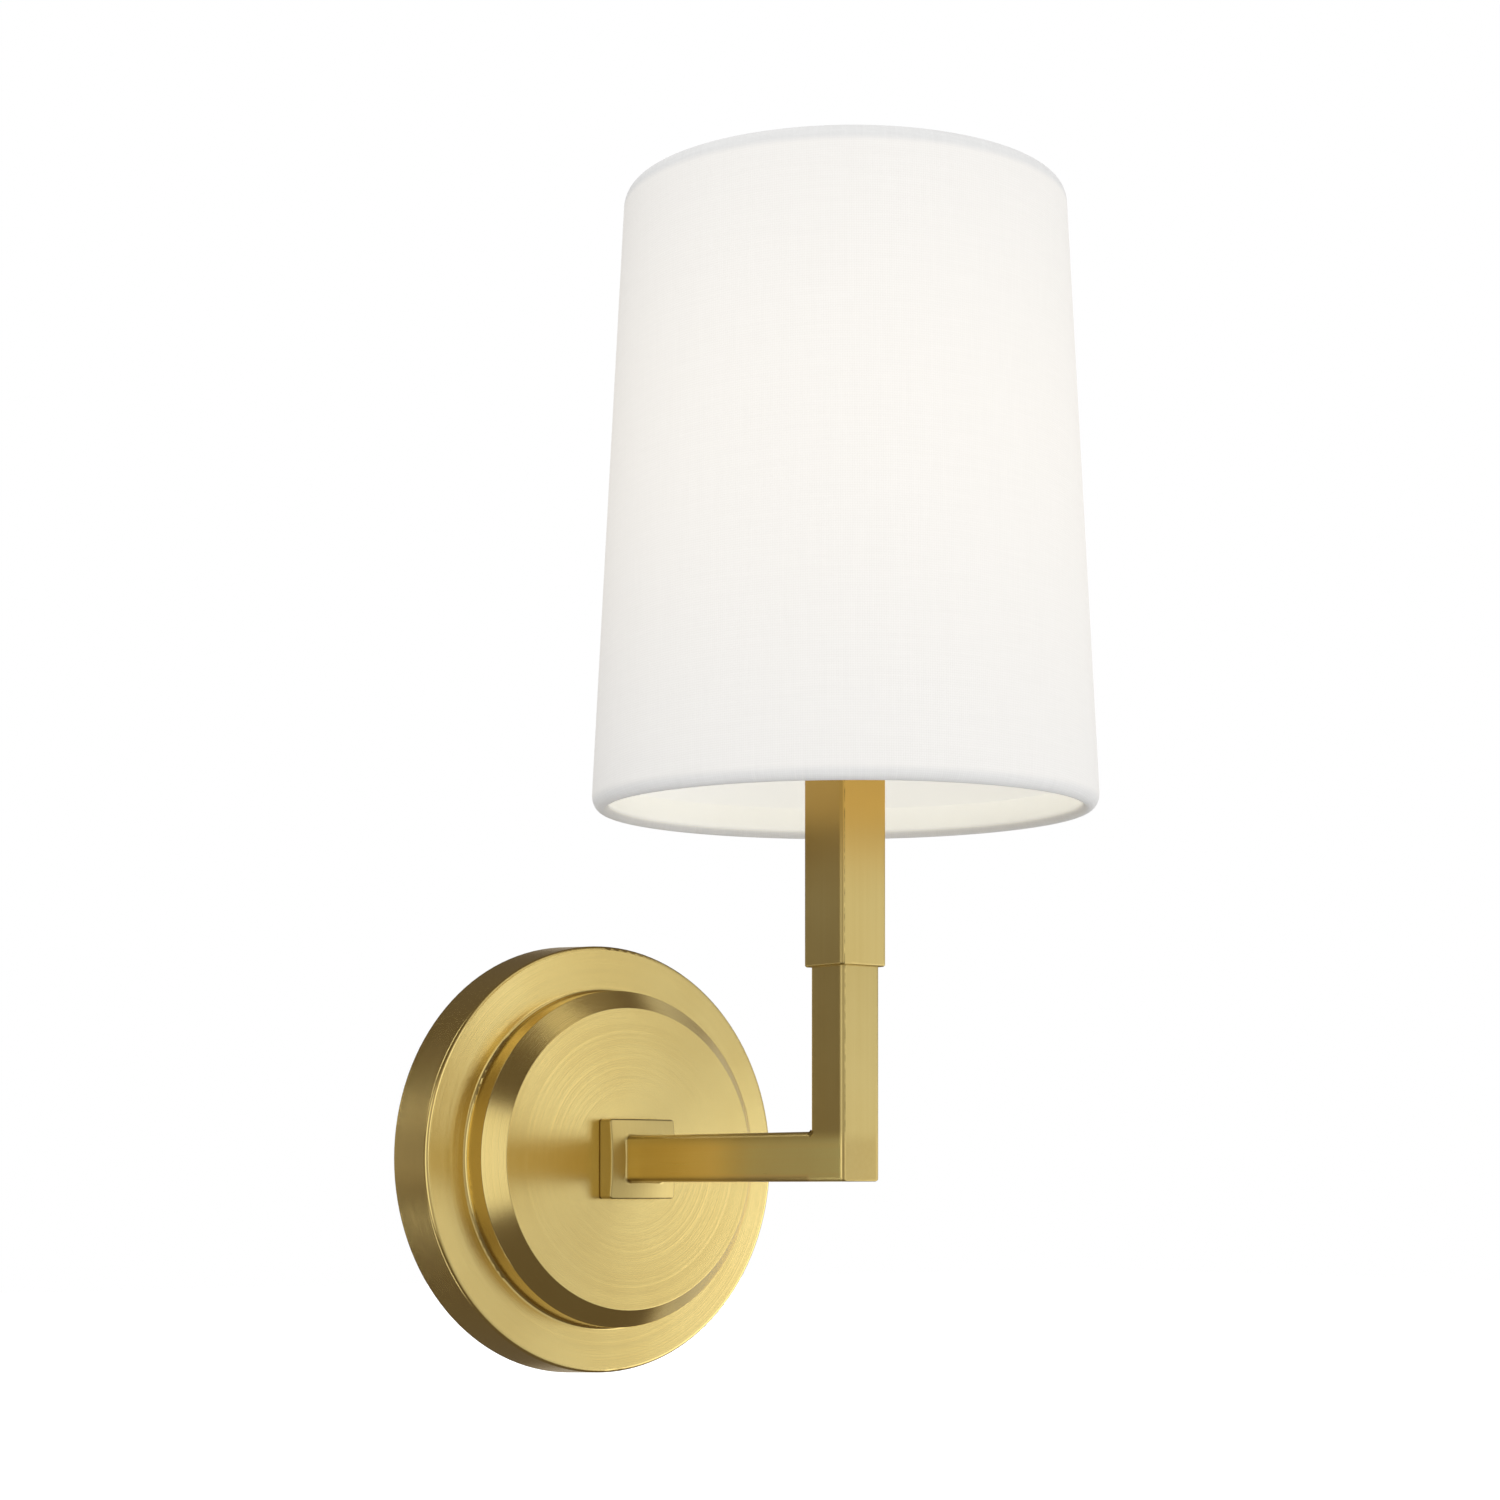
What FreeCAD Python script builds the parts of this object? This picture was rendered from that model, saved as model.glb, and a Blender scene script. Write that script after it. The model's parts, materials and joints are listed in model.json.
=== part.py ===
import FreeCAD, Part
import math
import os

# Wall sconce: a round stepped canopy, a square L-shaped arm and a tapered drum shade.
# Millimetres. The origin is the canopy's centre on the wall, +X runs to the right along the
# wall, +Y points into the wall and +Z points up. "Depth" means distance out from the wall (-Y).

os.makedirs("parts", exist_ok=True)
V = FreeCAD.Vector

# Canopy
CANOPY_BACK_R = 64.0
CANOPY_FRONT_R = 63.3
CANOPY_DEPTH = 15.7
CANOPY_WALL = 1.6
CANOPY_EDGE_R = 1.1
TIER_R = 49.7
TIER_EDGE_DEPTH = 23.5
TIER_FACE_R = 44.4
TIER_FACE_DEPTH = 28.7
TIER_COVE_R = 1.2

# Square tube arm
BOSS_SIDE = 23.3
BOSS_CORNER = 1.0
BOSS_EDGE_R = 0.6
BOSS_FOOT_GROOVE = 0.3
BOSS_FACE_DEPTH = 35.6
BOSS_POCKET_DEPTH = 32.3
TUBE = 13.5
TUBE_CORNER = 1.4
TUBE_WALL = 1.2
REACH = 125.2
RISER_TOP = 96.0
SLEEVE = 16.0
SLEEVE_BORE = 13.6
SLEEVE_CORNER = 1.2
SLEEVE_BOTTOM = 51.0
SLEEVE_TOP = 104.0

# Threaded tube and what it clamps
NIPPLE_R = 5.0
NIPPLE_BORE_R = 3.25
NIPPLE_CLEAR_R = 5.2

# Lamp holder
HOLDER_BASE = 105.0
HOLDER_FLOOR = 113.0
CORE_BOTTOM = 120.0
SHOULDER = 132.0
SKIRT_BOTTOM = 128.0
SKIRT_TOP = 152.0
SKIRT_R = 14.0
SHOULDER_R = 17.5
SHELL_FLOOR = 124.0

# Lamp
LAMP_R = 12.4
LAMP_TOP = 224.0
LAMP_NECK = 150.0

# Shade
SHADE_BOTTOM = 93.2
SHADE_TOP = 258.2
SHADE_BOTTOM_R = 68.3
SHADE_TOP_R = 59.3
FABRIC = 0.6
LINER = 0.4
RING_WIRE_R = 1.2
HEM_STEP = 0.35
HEM_HEIGHT = 3.8
FITTER_R = 20.0
ARM_ANGLES = (49, 169, 289)

# Wires
LEAD_R = 1.0
LEAD_GAP = 1.15


def turned_on_wall_axis(profile):
    """Solid turned about the canopy's axis from a (radius, depth) outline."""
    points = [V(radius, -depth, 0) for radius, depth in profile]
    face = Part.Face(Part.makePolygon(points + points[:1]))
    return face.revolve(V(0, 0, 0), V(0, 1, 0), 360)


def turned_on_riser_axis(profile):
    """Solid turned about the riser's axis from a (radius, height) outline."""
    points = [V(radius, -REACH, height) for radius, height in profile]
    face = Part.Face(Part.makePolygon(points + points[:1]))
    return face.revolve(V(0, -REACH, 0), V(0, 0, 1), 360)


def wall_disc(radius, near, far, hole=0.0):
    """Disc or ring on the canopy's axis between two depths."""
    return turned_on_wall_axis([(hole, near), (radius, near), (radius, far), (hole, far)])


def riser_disc(radius, low, high, hole=0.0):
    """Disc or ring on the riser's axis between two heights."""
    return turned_on_riser_axis([(hole, low), (radius, low), (radius, high), (hole, high)])


def round_ring_edges(shape, edge_radius, rings):
    """Rounds the circular edges whose (radius, height along their axis) are listed."""
    chosen = []
    for edge in shape.Edges:
        if edge.Degenerated or not isinstance(edge.Curve, Part.Circle):
            continue
        centre = edge.Curve.Center
        along = -centre.y if abs(edge.Curve.Axis.y) > 0.9 else centre.z
        if any(abs(edge.Curve.Radius - r) < 0.01 and abs(along - a) < 0.01 for r, a in rings):
            chosen.append(edge)
    return shape.makeFillet(edge_radius, chosen)


def upright_square(side, corner, low, high):
    """Rounded-square bar standing on the origin between two heights."""
    bar = Part.makeBox(side, side, high - low, V(-side / 2, -side / 2, low))
    upright = [e for e in bar.Edges if abs(e.tangentAt(e.FirstParameter).z) > 0.99]
    return bar.makeFillet(corner, upright)


def upright_tube(side, bore, corner, low, high):
    """Rounded-square tube standing on the origin between two heights."""
    inner_corner = max(corner - (side - bore) / 2, 0.3)
    return upright_square(side, corner, low, high).cut(upright_square(bore, inner_corner, low, high))


def laid_along_arm(shape):
    """Turns a shape built upright so that its heights become depths out from the wall."""
    shape.rotate(V(0, 0, 0), V(1, 0, 0), 90)
    return shape


def moved_to_riser(shape):
    shape.translate(V(0, -REACH, 0))
    return shape


def rod(points, radius, bends):
    """Round rod along straight runs joined by tangent arcs, one bend radius per inner point."""
    edges = []
    start = points[0]
    for before, corner, after, bend in zip(points, points[1:], points[2:], bends):
        incoming = (corner - before).normalize()
        outgoing = (after - corner).normalize()
        half_turn = math.acos(incoming.dot(outgoing)) / 2
        setback = bend * math.tan(half_turn)
        arc_start = corner - incoming * setback
        arc_end = corner + outgoing * setback
        inward = (outgoing - incoming).normalize()
        middle = corner + inward * (bend / math.cos(half_turn) - bend)
        edges.append(Part.LineSegment(start, arc_start).toShape())
        edges.append(Part.Arc(arc_start, middle, arc_end).toShape())
        start = arc_end
    edges.append(Part.LineSegment(start, points[-1]).toShape())
    section = Part.Wire([Part.makeCircle(radius, points[0], points[1] - points[0])])
    return Part.Wire(edges).makePipeShell([section], True, False)


def hexagon(across_flats, near, far, hole):
    """Hexagonal nut on the canopy's axis between two depths."""
    corner_r = across_flats / 2 / math.cos(math.pi / 6)
    angles = [math.pi / 3 * turn for turn in range(6)]
    points = [V(corner_r * math.cos(a), -far, corner_r * math.sin(a)) for a in angles]
    face = Part.Face(Part.makePolygon(points + points[:1]))
    return face.extrude(V(0, far - near, 0)).cut(wall_disc(hole, near, far))


def export(name, *solids):
    """Writes one node; several solids in one node are identical pieces or one kept group."""
    for solid in solids:
        assert solid.isValid() and solid.Volume > 0, name
    shape = solids[0] if len(solids) == 1 else Part.makeCompound(list(solids))
    shape.exportStep("parts/" + name + ".step")
    print(f"{name:22s} {len(shape.Solids)} solid(s) {shape.Volume / 1000:8.3f} cm3")


# ---------------------------------------------------------------- wall bracket

BRACKET_WIDTH = 22.0
BRACKET_THICK = 2.0
EAR_OUTSIDE = 60.5
EAR_DEPTH = 12.0
CANOPY_SCREW_DEPTH = 7.5
CANOPY_SCREW_R = 2.0
BOX_SLOT_SPACING = 79.4
BOX_SLOT_R = 2.3
BOX_SLOT_LENGTH = 15.0
WIRE_HOLE_R = 8.0
GROUND_SCREW_Z = -24.0
GROUND_SCREW_R = 2.4


def box_slot(centre_z):
    """Cutter for one upright slot for a junction-box screw."""
    straight = BOX_SLOT_LENGTH / 2 - BOX_SLOT_R
    low, high = centre_z - straight, centre_z + straight
    through = V(0, -3 * BRACKET_THICK, 0)
    slot = Part.makeBox(2 * BOX_SLOT_R, 3 * BRACKET_THICK, high - low,
                        V(-BOX_SLOT_R, -2 * BRACKET_THICK, low))
    for end in (low, high):
        slot = slot.fuse(Part.makeCylinder(BOX_SLOT_R, 3 * BRACKET_THICK,
                                           V(0, BRACKET_THICK, end), through))
    return slot


def wall_bracket():
    """Steel strap screwed to the junction box, with two ears that the canopy's screws pull on."""
    half = BRACKET_WIDTH / 2
    bracket = Part.makeBox(BRACKET_WIDTH, BRACKET_THICK, 2 * EAR_OUTSIDE,
                           V(-half, -BRACKET_THICK, -EAR_OUTSIDE))
    for low in (-EAR_OUTSIDE, EAR_OUTSIDE - BRACKET_THICK):
        bracket = bracket.fuse(Part.makeBox(BRACKET_WIDTH, EAR_DEPTH, BRACKET_THICK,
                                            V(-half, -EAR_DEPTH, low)))
    outside_bends = [e for e in bracket.removeSplitter().Edges
                     if abs(e.tangentAt(e.FirstParameter).x) > 0.99
                     and abs(e.CenterOfMass.y) < 0.01 and abs(e.CenterOfMass.z) > EAR_OUTSIDE - 0.1]
    bracket = bracket.removeSplitter().makeFillet(1.5, outside_bends)
    for side in (-1, 1):
        bracket = bracket.cut(box_slot(side * BOX_SLOT_SPACING / 2))
    bracket = bracket.cut(Part.makeCylinder(WIRE_HOLE_R, 10, V(0, 4, 0), V(0, -1, 0)))
    bracket = bracket.cut(Part.makeCylinder(GROUND_SCREW_R, 10, V(0, 4, GROUND_SCREW_Z), V(0, -1, 0)))
    return bracket.cut(Part.makeCylinder(CANOPY_SCREW_R, 2 * CANOPY_FRONT_R,
                                         V(0, -CANOPY_SCREW_DEPTH, -CANOPY_FRONT_R)))


def canopy_screw(side):
    """Grub screw through the canopy's rim into a bracket ear, with a hexagon socket."""
    inner, outer = 57.0, 63.3
    shank = Part.makeCylinder(CANOPY_SCREW_R, outer - inner, V(0, -CANOPY_SCREW_DEPTH, inner))
    socket_r = 1.15
    angles = [math.pi / 3 * turn for turn in range(6)]
    points = [V(socket_r * math.cos(a), socket_r * math.sin(a) - CANOPY_SCREW_DEPTH, outer - 2.2)
              for a in angles]
    socket = Part.Face(Part.makePolygon(points + points[:1])).extrude(V(0, 0, 3))
    screw = shank.cut(socket)
    if side < 0:
        screw.rotate(V(0, 0, 0), V(0, 1, 0), 180)
    return screw


def ground_screw():
    """Green hexagon-washer screw that bonds the bracket, flush with the bracket's back."""
    head = hexagon(7.0, BRACKET_THICK + 0.8, BRACKET_THICK + 4.0, 0.001)
    flange = wall_disc(4.2, BRACKET_THICK, BRACKET_THICK + 0.8)
    shank = wall_disc(GROUND_SCREW_R, 0.0, BRACKET_THICK)
    slot = Part.makeBox(10, 1.2, 1.0, V(-5, -BRACKET_THICK - 4.1, -0.5))
    screw = head.fuse(flange).fuse(shank).removeSplitter().cut(slot)
    screw.translate(V(0, 0, GROUND_SCREW_Z))
    return screw


# ---------------------------------------------------------------- canopy

def canopy():
    """Die-cast brass shell: a rim with a little draft, a cove, then a bevelled step and its flat face."""
    corner = CANOPY_WALL * math.tan(math.pi / 8)
    shell = turned_on_wall_axis([
        (CANOPY_BACK_R, 0),
        (CANOPY_FRONT_R, CANOPY_DEPTH),
        (TIER_R, CANOPY_DEPTH),
        (TIER_R, TIER_EDGE_DEPTH),
        (TIER_FACE_R, TIER_FACE_DEPTH),
        (NIPPLE_CLEAR_R, TIER_FACE_DEPTH),
        (NIPPLE_CLEAR_R, TIER_FACE_DEPTH - CANOPY_WALL),
        (TIER_FACE_R - corner, TIER_FACE_DEPTH - CANOPY_WALL),
        (TIER_R - CANOPY_WALL, TIER_EDGE_DEPTH - corner),
        (TIER_R - CANOPY_WALL, CANOPY_DEPTH - CANOPY_WALL),
        (CANOPY_FRONT_R - CANOPY_WALL, CANOPY_DEPTH - CANOPY_WALL),
        (CANOPY_BACK_R - CANOPY_WALL, 0),
    ])
    shell = round_ring_edges(shell, CANOPY_EDGE_R, [(CANOPY_FRONT_R, CANOPY_DEPTH)])
    shell = round_ring_edges(shell, TIER_COVE_R, [(TIER_R, CANOPY_DEPTH)])
    shell = round_ring_edges(shell, 0.3, [(TIER_R, TIER_EDGE_DEPTH), (TIER_FACE_R, TIER_FACE_DEPTH)])
    return shell.cut(Part.makeCylinder(CANOPY_SCREW_R + 0.2, 2 * CANOPY_BACK_R + 4,
                                       V(0, -CANOPY_SCREW_DEPTH, -CANOPY_BACK_R - 2)))


def boss():
    """Square block with a faintly domed face and a pocket that the arm is brazed into."""
    block = laid_along_arm(upright_square(BOSS_SIDE, BOSS_CORNER, TIER_FACE_DEPTH, BOSS_FACE_DEPTH))
    foot = [e for e in block.Edges if abs(e.CenterOfMass.y + TIER_FACE_DEPTH) < 0.01]
    block = block.makeChamfer(BOSS_FOOT_GROOVE, foot)
    dome_r = 80.0
    dome = Part.makeSphere(dome_r, V(0, dome_r - BOSS_FACE_DEPTH, 0))
    block = block.common(dome)
    rim = [e for e in block.Edges if e.CenterOfMass.y < -BOSS_FACE_DEPTH + 2.2
           and abs(e.tangentAt(e.FirstParameter).y) < 0.9]
    block = block.makeFillet(BOSS_EDGE_R, rim)
    pocket = laid_along_arm(upright_square(TUBE, TUBE_CORNER, BOSS_POCKET_DEPTH, BOSS_FACE_DEPTH + 1))
    return block.cut(pocket).cut(wall_disc(NIPPLE_CLEAR_R, TIER_FACE_DEPTH, BOSS_POCKET_DEPTH))


# ---------------------------------------------------------------- arm

def riser_side_of_mitre():
    """Everything beyond the 45 degree plane where the arm meets the riser."""
    size = 200.0
    corners = [(REACH - size, size), (REACH + size, -size), (REACH + size, size)]
    points = [V(-size, -depth, height) for depth, height in corners]
    return Part.Face(Part.makePolygon(points + points[:1])).extrude(V(2 * size, 0, 0))


def arm_tube():
    """Level square tube from the boss to the mitred elbow."""
    bore = TUBE - 2 * TUBE_WALL
    tube = laid_along_arm(upright_tube(TUBE, bore, TUBE_CORNER, BOSS_POCKET_DEPTH, REACH + TUBE / 2))
    return tube.cut(riser_side_of_mitre())


def riser_tube():
    """Upright square tube from the mitred elbow into the sleeve."""
    bore = TUBE - 2 * TUBE_WALL
    tube = moved_to_riser(upright_tube(TUBE, bore, TUBE_CORNER, -TUBE / 2, RISER_TOP))
    return tube.common(riser_side_of_mitre())


INSERT_DEPTH = 12.0


def arm_insert():
    """Tapped block brazed inside the arm's wall end; the clamping tube screws into it."""
    side = TUBE - 2 * TUBE_WALL - 0.1
    end = BOSS_POCKET_DEPTH + INSERT_DEPTH
    block = laid_along_arm(upright_square(side, 0.4, BOSS_POCKET_DEPTH, end))
    return block.cut(wall_disc(NIPPLE_R, BOSS_POCKET_DEPTH, end))


FACE_INSIDE = TIER_FACE_DEPTH - CANOPY_WALL
WASHER_BACK = FACE_INSIDE - 1.6
LUG_BACK = WASHER_BACK - 0.8
LOCK_BACK = LUG_BACK - 1.2
NUT_BACK = LOCK_BACK - 3.0
NIPPLE_END = NUT_BACK - 0.7
BUSHING_END = NIPPLE_END - 1.0
BUSHING_BORE_R = 2.6


def fixing_nipple():
    """Threaded tube that clamps the arm, boss and canopy together and carries the wires."""
    return wall_disc(NIPPLE_R, NIPPLE_END, BOSS_POCKET_DEPTH + INSERT_DEPTH, NIPPLE_BORE_R)


def lock_washer():
    """Split spring washer."""
    ring = wall_disc(8.4, LOCK_BACK, LUG_BACK, NIPPLE_CLEAR_R)
    slit = Part.makeBox(1.0, 3.0, 10.0, V(-0.5, -LUG_BACK - 0.5, 0))
    return ring.cut(slit)


LUG_TAIL = 15.0
LUG_BARREL_END = 20.0
LUG_MID = (WASHER_BACK + LUG_BACK) / 2


def ground_lug():
    """Ring terminal under the lock washer, its barrel pointing down."""
    ring = wall_disc(8.4, LUG_BACK, WASHER_BACK, NIPPLE_CLEAR_R)
    tail = Part.makeBox(5.0, 0.8, LUG_TAIL - 6.0, V(-2.5, -WASHER_BACK, -LUG_TAIL))
    barrel = Part.makeCylinder(1.7, LUG_BARREL_END - LUG_TAIL, V(0, -LUG_MID, -LUG_BARREL_END))
    tail = tail.cut(wall_disc(NIPPLE_CLEAR_R, LUG_BACK - 1, WASHER_BACK + 1))
    return ring.fuse(tail).fuse(barrel).removeSplitter()


def wire_bushing():
    """Plastic bush that keeps the wires off the end of the threaded tube."""
    return turned_on_wall_axis([
        (BUSHING_BORE_R, BUSHING_END),
        (NIPPLE_R + 0.4, BUSHING_END),
        (NIPPLE_R + 0.4, NIPPLE_END),
        (NIPPLE_BORE_R, NIPPLE_END),
        (NIPPLE_BORE_R, NIPPLE_END + 4.0),
        (BUSHING_BORE_R, NIPPLE_END + 4.0),
    ])


# ---------------------------------------------------------------- sleeve and lamp holder

def sleeve():
    """Larger square tube over the riser's top, its lower lip softly rounded."""
    outer = upright_square(SLEEVE, SLEEVE_CORNER, SLEEVE_BOTTOM, SLEEVE_TOP)
    lip = [e for e in outer.Edges if abs(e.CenterOfMass.z - SLEEVE_BOTTOM) < 0.01]
    outer = outer.makeFillet(0.7, lip)
    return moved_to_riser(outer.cut(upright_square(SLEEVE_BORE, SLEEVE_CORNER,
                                                   SLEEVE_BOTTOM, SLEEVE_TOP)))


def sleeve_plug():
    """Tapped plate brazed in the sleeve's top end."""
    plate = moved_to_riser(upright_square(SLEEVE_BORE - 0.1, SLEEVE_CORNER, SLEEVE_TOP - 4, SLEEVE_TOP))
    return plate.cut(riser_disc(NIPPLE_R, SLEEVE_TOP - 4, SLEEVE_TOP))


def holder_nipple():
    """Short threaded tube between the sleeve's plug and the lamp holder."""
    return riser_disc(NIPPLE_R, RISER_TOP + 1, HOLDER_FLOOR, NIPPLE_BORE_R)


def holder_cup():
    """Shallow spun brass cup that hides the foot of the lamp holder."""
    outer_r, wall, rim = 17.0, 0.8, 119.0
    cup = turned_on_riser_axis([
        (NIPPLE_CLEAR_R, SLEEVE_TOP),
        (outer_r - 4, SLEEVE_TOP),
        (outer_r, SLEEVE_TOP + 4),
        (outer_r, rim),
        (outer_r - wall, rim),
        (outer_r - wall, SLEEVE_TOP + 4.3),
        (outer_r - 4.3, HOLDER_BASE),
        (NIPPLE_CLEAR_R, HOLDER_BASE),
    ])
    return round_ring_edges(cup, 2.0, [(outer_r, SLEEVE_TOP + 4)])


def holder_base():
    """Moulded lower half of the lamp holder, tapped for the threaded tube."""
    outer_r = 15.6
    return turned_on_riser_axis([
        (NIPPLE_R, HOLDER_BASE),
        (12.0, HOLDER_BASE),
        (outer_r, HOLDER_BASE + 4.5),
        (outer_r, SKIRT_BOTTOM),
        (13.3, SKIRT_BOTTOM),
        (13.3, HOLDER_FLOOR),
        (NIPPLE_R, HOLDER_FLOOR),
    ])


def holder_skirt():
    """Moulded upper half: the shoulder that the shade sits on and the threaded tube above it."""
    return turned_on_riser_axis([
        (12.2, SKIRT_BOTTOM),
        (SHOULDER_R, SKIRT_BOTTOM),
        (SHOULDER_R, SHOULDER),
        (SKIRT_R, SHOULDER),
        (SKIRT_R, SKIRT_TOP),
        (12.2, SKIRT_TOP),
    ])


TERMINAL_X = 8.0
TERMINAL_HEAD_R = 2.6


def holder_core():
    """Ceramic core that carries the screw shell and the contacts."""
    core = turned_on_riser_axis([
        (0, CORE_BOTTOM),
        (13.1, CORE_BOTTOM),
        (13.1, SKIRT_BOTTOM),
        (12.0, SKIRT_BOTTOM),
        (12.0, LAMP_NECK),
        (6.9, LAMP_NECK),
        (6.9, SHELL_FLOOR),
        (0, SHELL_FLOOR),
    ])
    for side in (-1, 1):
        core = core.cut(Part.makeCylinder(1.4, 3.5, V(side * TERMINAL_X, -REACH, CORE_BOTTOM)))
    return core


def terminal_screw(side):
    """Screw under the ceramic core that grips the end of one wire."""
    x = side * TERMINAL_X
    head = Part.makeCylinder(TERMINAL_HEAD_R, 2.2, V(x, -REACH, CORE_BOTTOM - 2.2))
    shank = Part.makeCylinder(1.4, 3.2, V(x, -REACH, CORE_BOTTOM))
    slot = Part.makeBox(8, 0.7, 0.9, V(x - 4, -REACH - 0.35, CORE_BOTTOM - 2.3))
    return head.fuse(shank).removeSplitter().cut(slot)


def screw_shell():
    """Thin shell that grips the lamp's cap, made smooth at its thread's working diameter."""
    return riser_disc(6.85, SHELL_FLOOR, LAMP_NECK - 1.0, 6.35)


def centre_contact():
    """Sprung brass tongue on the core's floor, under the lamp's tip."""
    strip = Part.makeBox(8.0, 3.6, 0.5, V(-4.0, -REACH - 1.8, SHELL_FLOOR))
    dimple = Part.makeCone(1.8, 1.2, 1.4, V(0, -REACH, SHELL_FLOOR + 0.5))
    return strip.fuse(dimple).removeSplitter()


# ---------------------------------------------------------------- lamp

TIP_BOTTOM = SHELL_FLOOR + 1.95
TIP_TOP = TIP_BOTTOM + 1.4
CAP_BOTTOM = TIP_TOP + 2.4
FILAMENT_LOW = 172.0
FILAMENT_HIGH = 206.0
FILAMENT_CIRCLE_R = 4.6
FILAMENT_R = 0.9


def lamp_glass():
    """Clear tubular envelope, hollow and closed by a dome."""
    glass = 0.8
    shoulder = LAMP_NECK + 9.0
    outer = [(6.3, LAMP_NECK), (LAMP_R, shoulder)]
    inner = [(LAMP_R - glass, shoulder + 0.3), (6.3 - glass, LAMP_NECK)]
    spring = LAMP_TOP - LAMP_R
    body = turned_on_riser_axis(outer + [(LAMP_R, spring), (LAMP_R - glass, spring)] + inner)
    centre = V(0, -REACH, spring)
    dome = Part.makeSphere(LAMP_R, centre).cut(Part.makeSphere(LAMP_R - glass, centre))
    lower_half = Part.makeBox(4 * LAMP_R, 4 * LAMP_R, 2 * LAMP_R,
                              V(-2 * LAMP_R, -REACH - 2 * LAMP_R, spring - 2 * LAMP_R))
    envelope = body.fuse(dome.cut(lower_half)).removeSplitter()
    return round_ring_edges(envelope, 4.0, [(LAMP_R, shoulder)])


def lamp_cap():
    """Threaded metal cap of the lamp, crimped to the glass at its top."""
    return turned_on_riser_axis([
        (5.4, CAP_BOTTOM),
        (5.95, CAP_BOTTOM),
        (5.95, LAMP_NECK - 3),
        (6.25, LAMP_NECK - 2.6),
        (6.25, LAMP_NECK),
        (5.5, LAMP_NECK),
        (5.5, LAMP_NECK - 2.6),
        (5.4, LAMP_NECK - 3),
    ])


def lamp_insulator():
    """Black glass plug between the lamp's cap and its tip."""
    return turned_on_riser_axis([(0, TIP_TOP), (2.4, TIP_TOP), (5.4, CAP_BOTTOM),
                                 (5.4, CAP_BOTTOM + 1.5), (0, CAP_BOTTOM + 1.5)])


def lamp_stem():
    """Glass mount that stands in the cap and holds the filament frame."""
    return turned_on_riser_axis([(0, LAMP_NECK - 12), (5.2, LAMP_NECK - 12), (5.2, LAMP_NECK),
                                 (3.2, LAMP_NECK + 5), (2.2, FILAMENT_LOW - 6), (1.4, FILAMENT_LOW - 3),
                                 (0, FILAMENT_LOW - 3)])


def lamp_frame():
    """Wire star at each end of the filaments, on a mast standing on the stem."""
    mast_r = 0.6
    mast = riser_disc(mast_r, FILAMENT_LOW - 3, FILAMENT_HIGH + 1.2)
    frame = mast
    for height in (FILAMENT_LOW - 1.2, FILAMENT_HIGH):
        star = riser_disc(FILAMENT_CIRCLE_R + 1.2, height, height + 1.2, FILAMENT_CIRCLE_R - 0.6)
        spoke = Part.makeBox(2 * FILAMENT_CIRCLE_R, 1.0, 1.2, V(-FILAMENT_CIRCLE_R, -REACH - 0.5, height))
        frame = frame.fuse(star).fuse(spoke)
    return frame.removeSplitter()


def lamp_filament(turn):
    """One upright light stick."""
    angle = math.radians(45 + 90 * turn)
    foot = V(FILAMENT_CIRCLE_R * math.cos(angle),
             FILAMENT_CIRCLE_R * math.sin(angle) - REACH, FILAMENT_LOW)
    return Part.makeCylinder(FILAMENT_R, FILAMENT_HIGH - FILAMENT_LOW, foot)


# ---------------------------------------------------------------- shade

def cone_radius(height):
    """Outer radius of the shade's fabric at a height."""
    share = (height - SHADE_BOTTOM) / (SHADE_TOP - SHADE_BOTTOM)
    return SHADE_BOTTOM_R + share * (SHADE_TOP_R - SHADE_BOTTOM_R)


def shade_layer(outside, inside, low, high):
    """Conical layer between two offsets in from the fabric's outer face."""
    return turned_on_riser_axis([
        (cone_radius(low) - outside, low),
        (cone_radius(high) - outside, high),
        (cone_radius(high) - inside, high),
        (cone_radius(low) - inside, low),
    ])


WALL_LOW = SHADE_BOTTOM + 0.6
WALL_HIGH = SHADE_TOP - 0.6
WIRE_INSET = FABRIC + LINER + RING_WIRE_R + 0.05
WIRE_RISE = 0.6 + RING_WIRE_R


def ring_wire(height, spare=0.0):
    """Steel hoop just inside the shade's wall at a height."""
    hoop = Part.makeTorus(cone_radius(height) - WIRE_INSET, RING_WIRE_R + spare)
    hoop.translate(V(0, -REACH, height))
    return hoop


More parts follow.
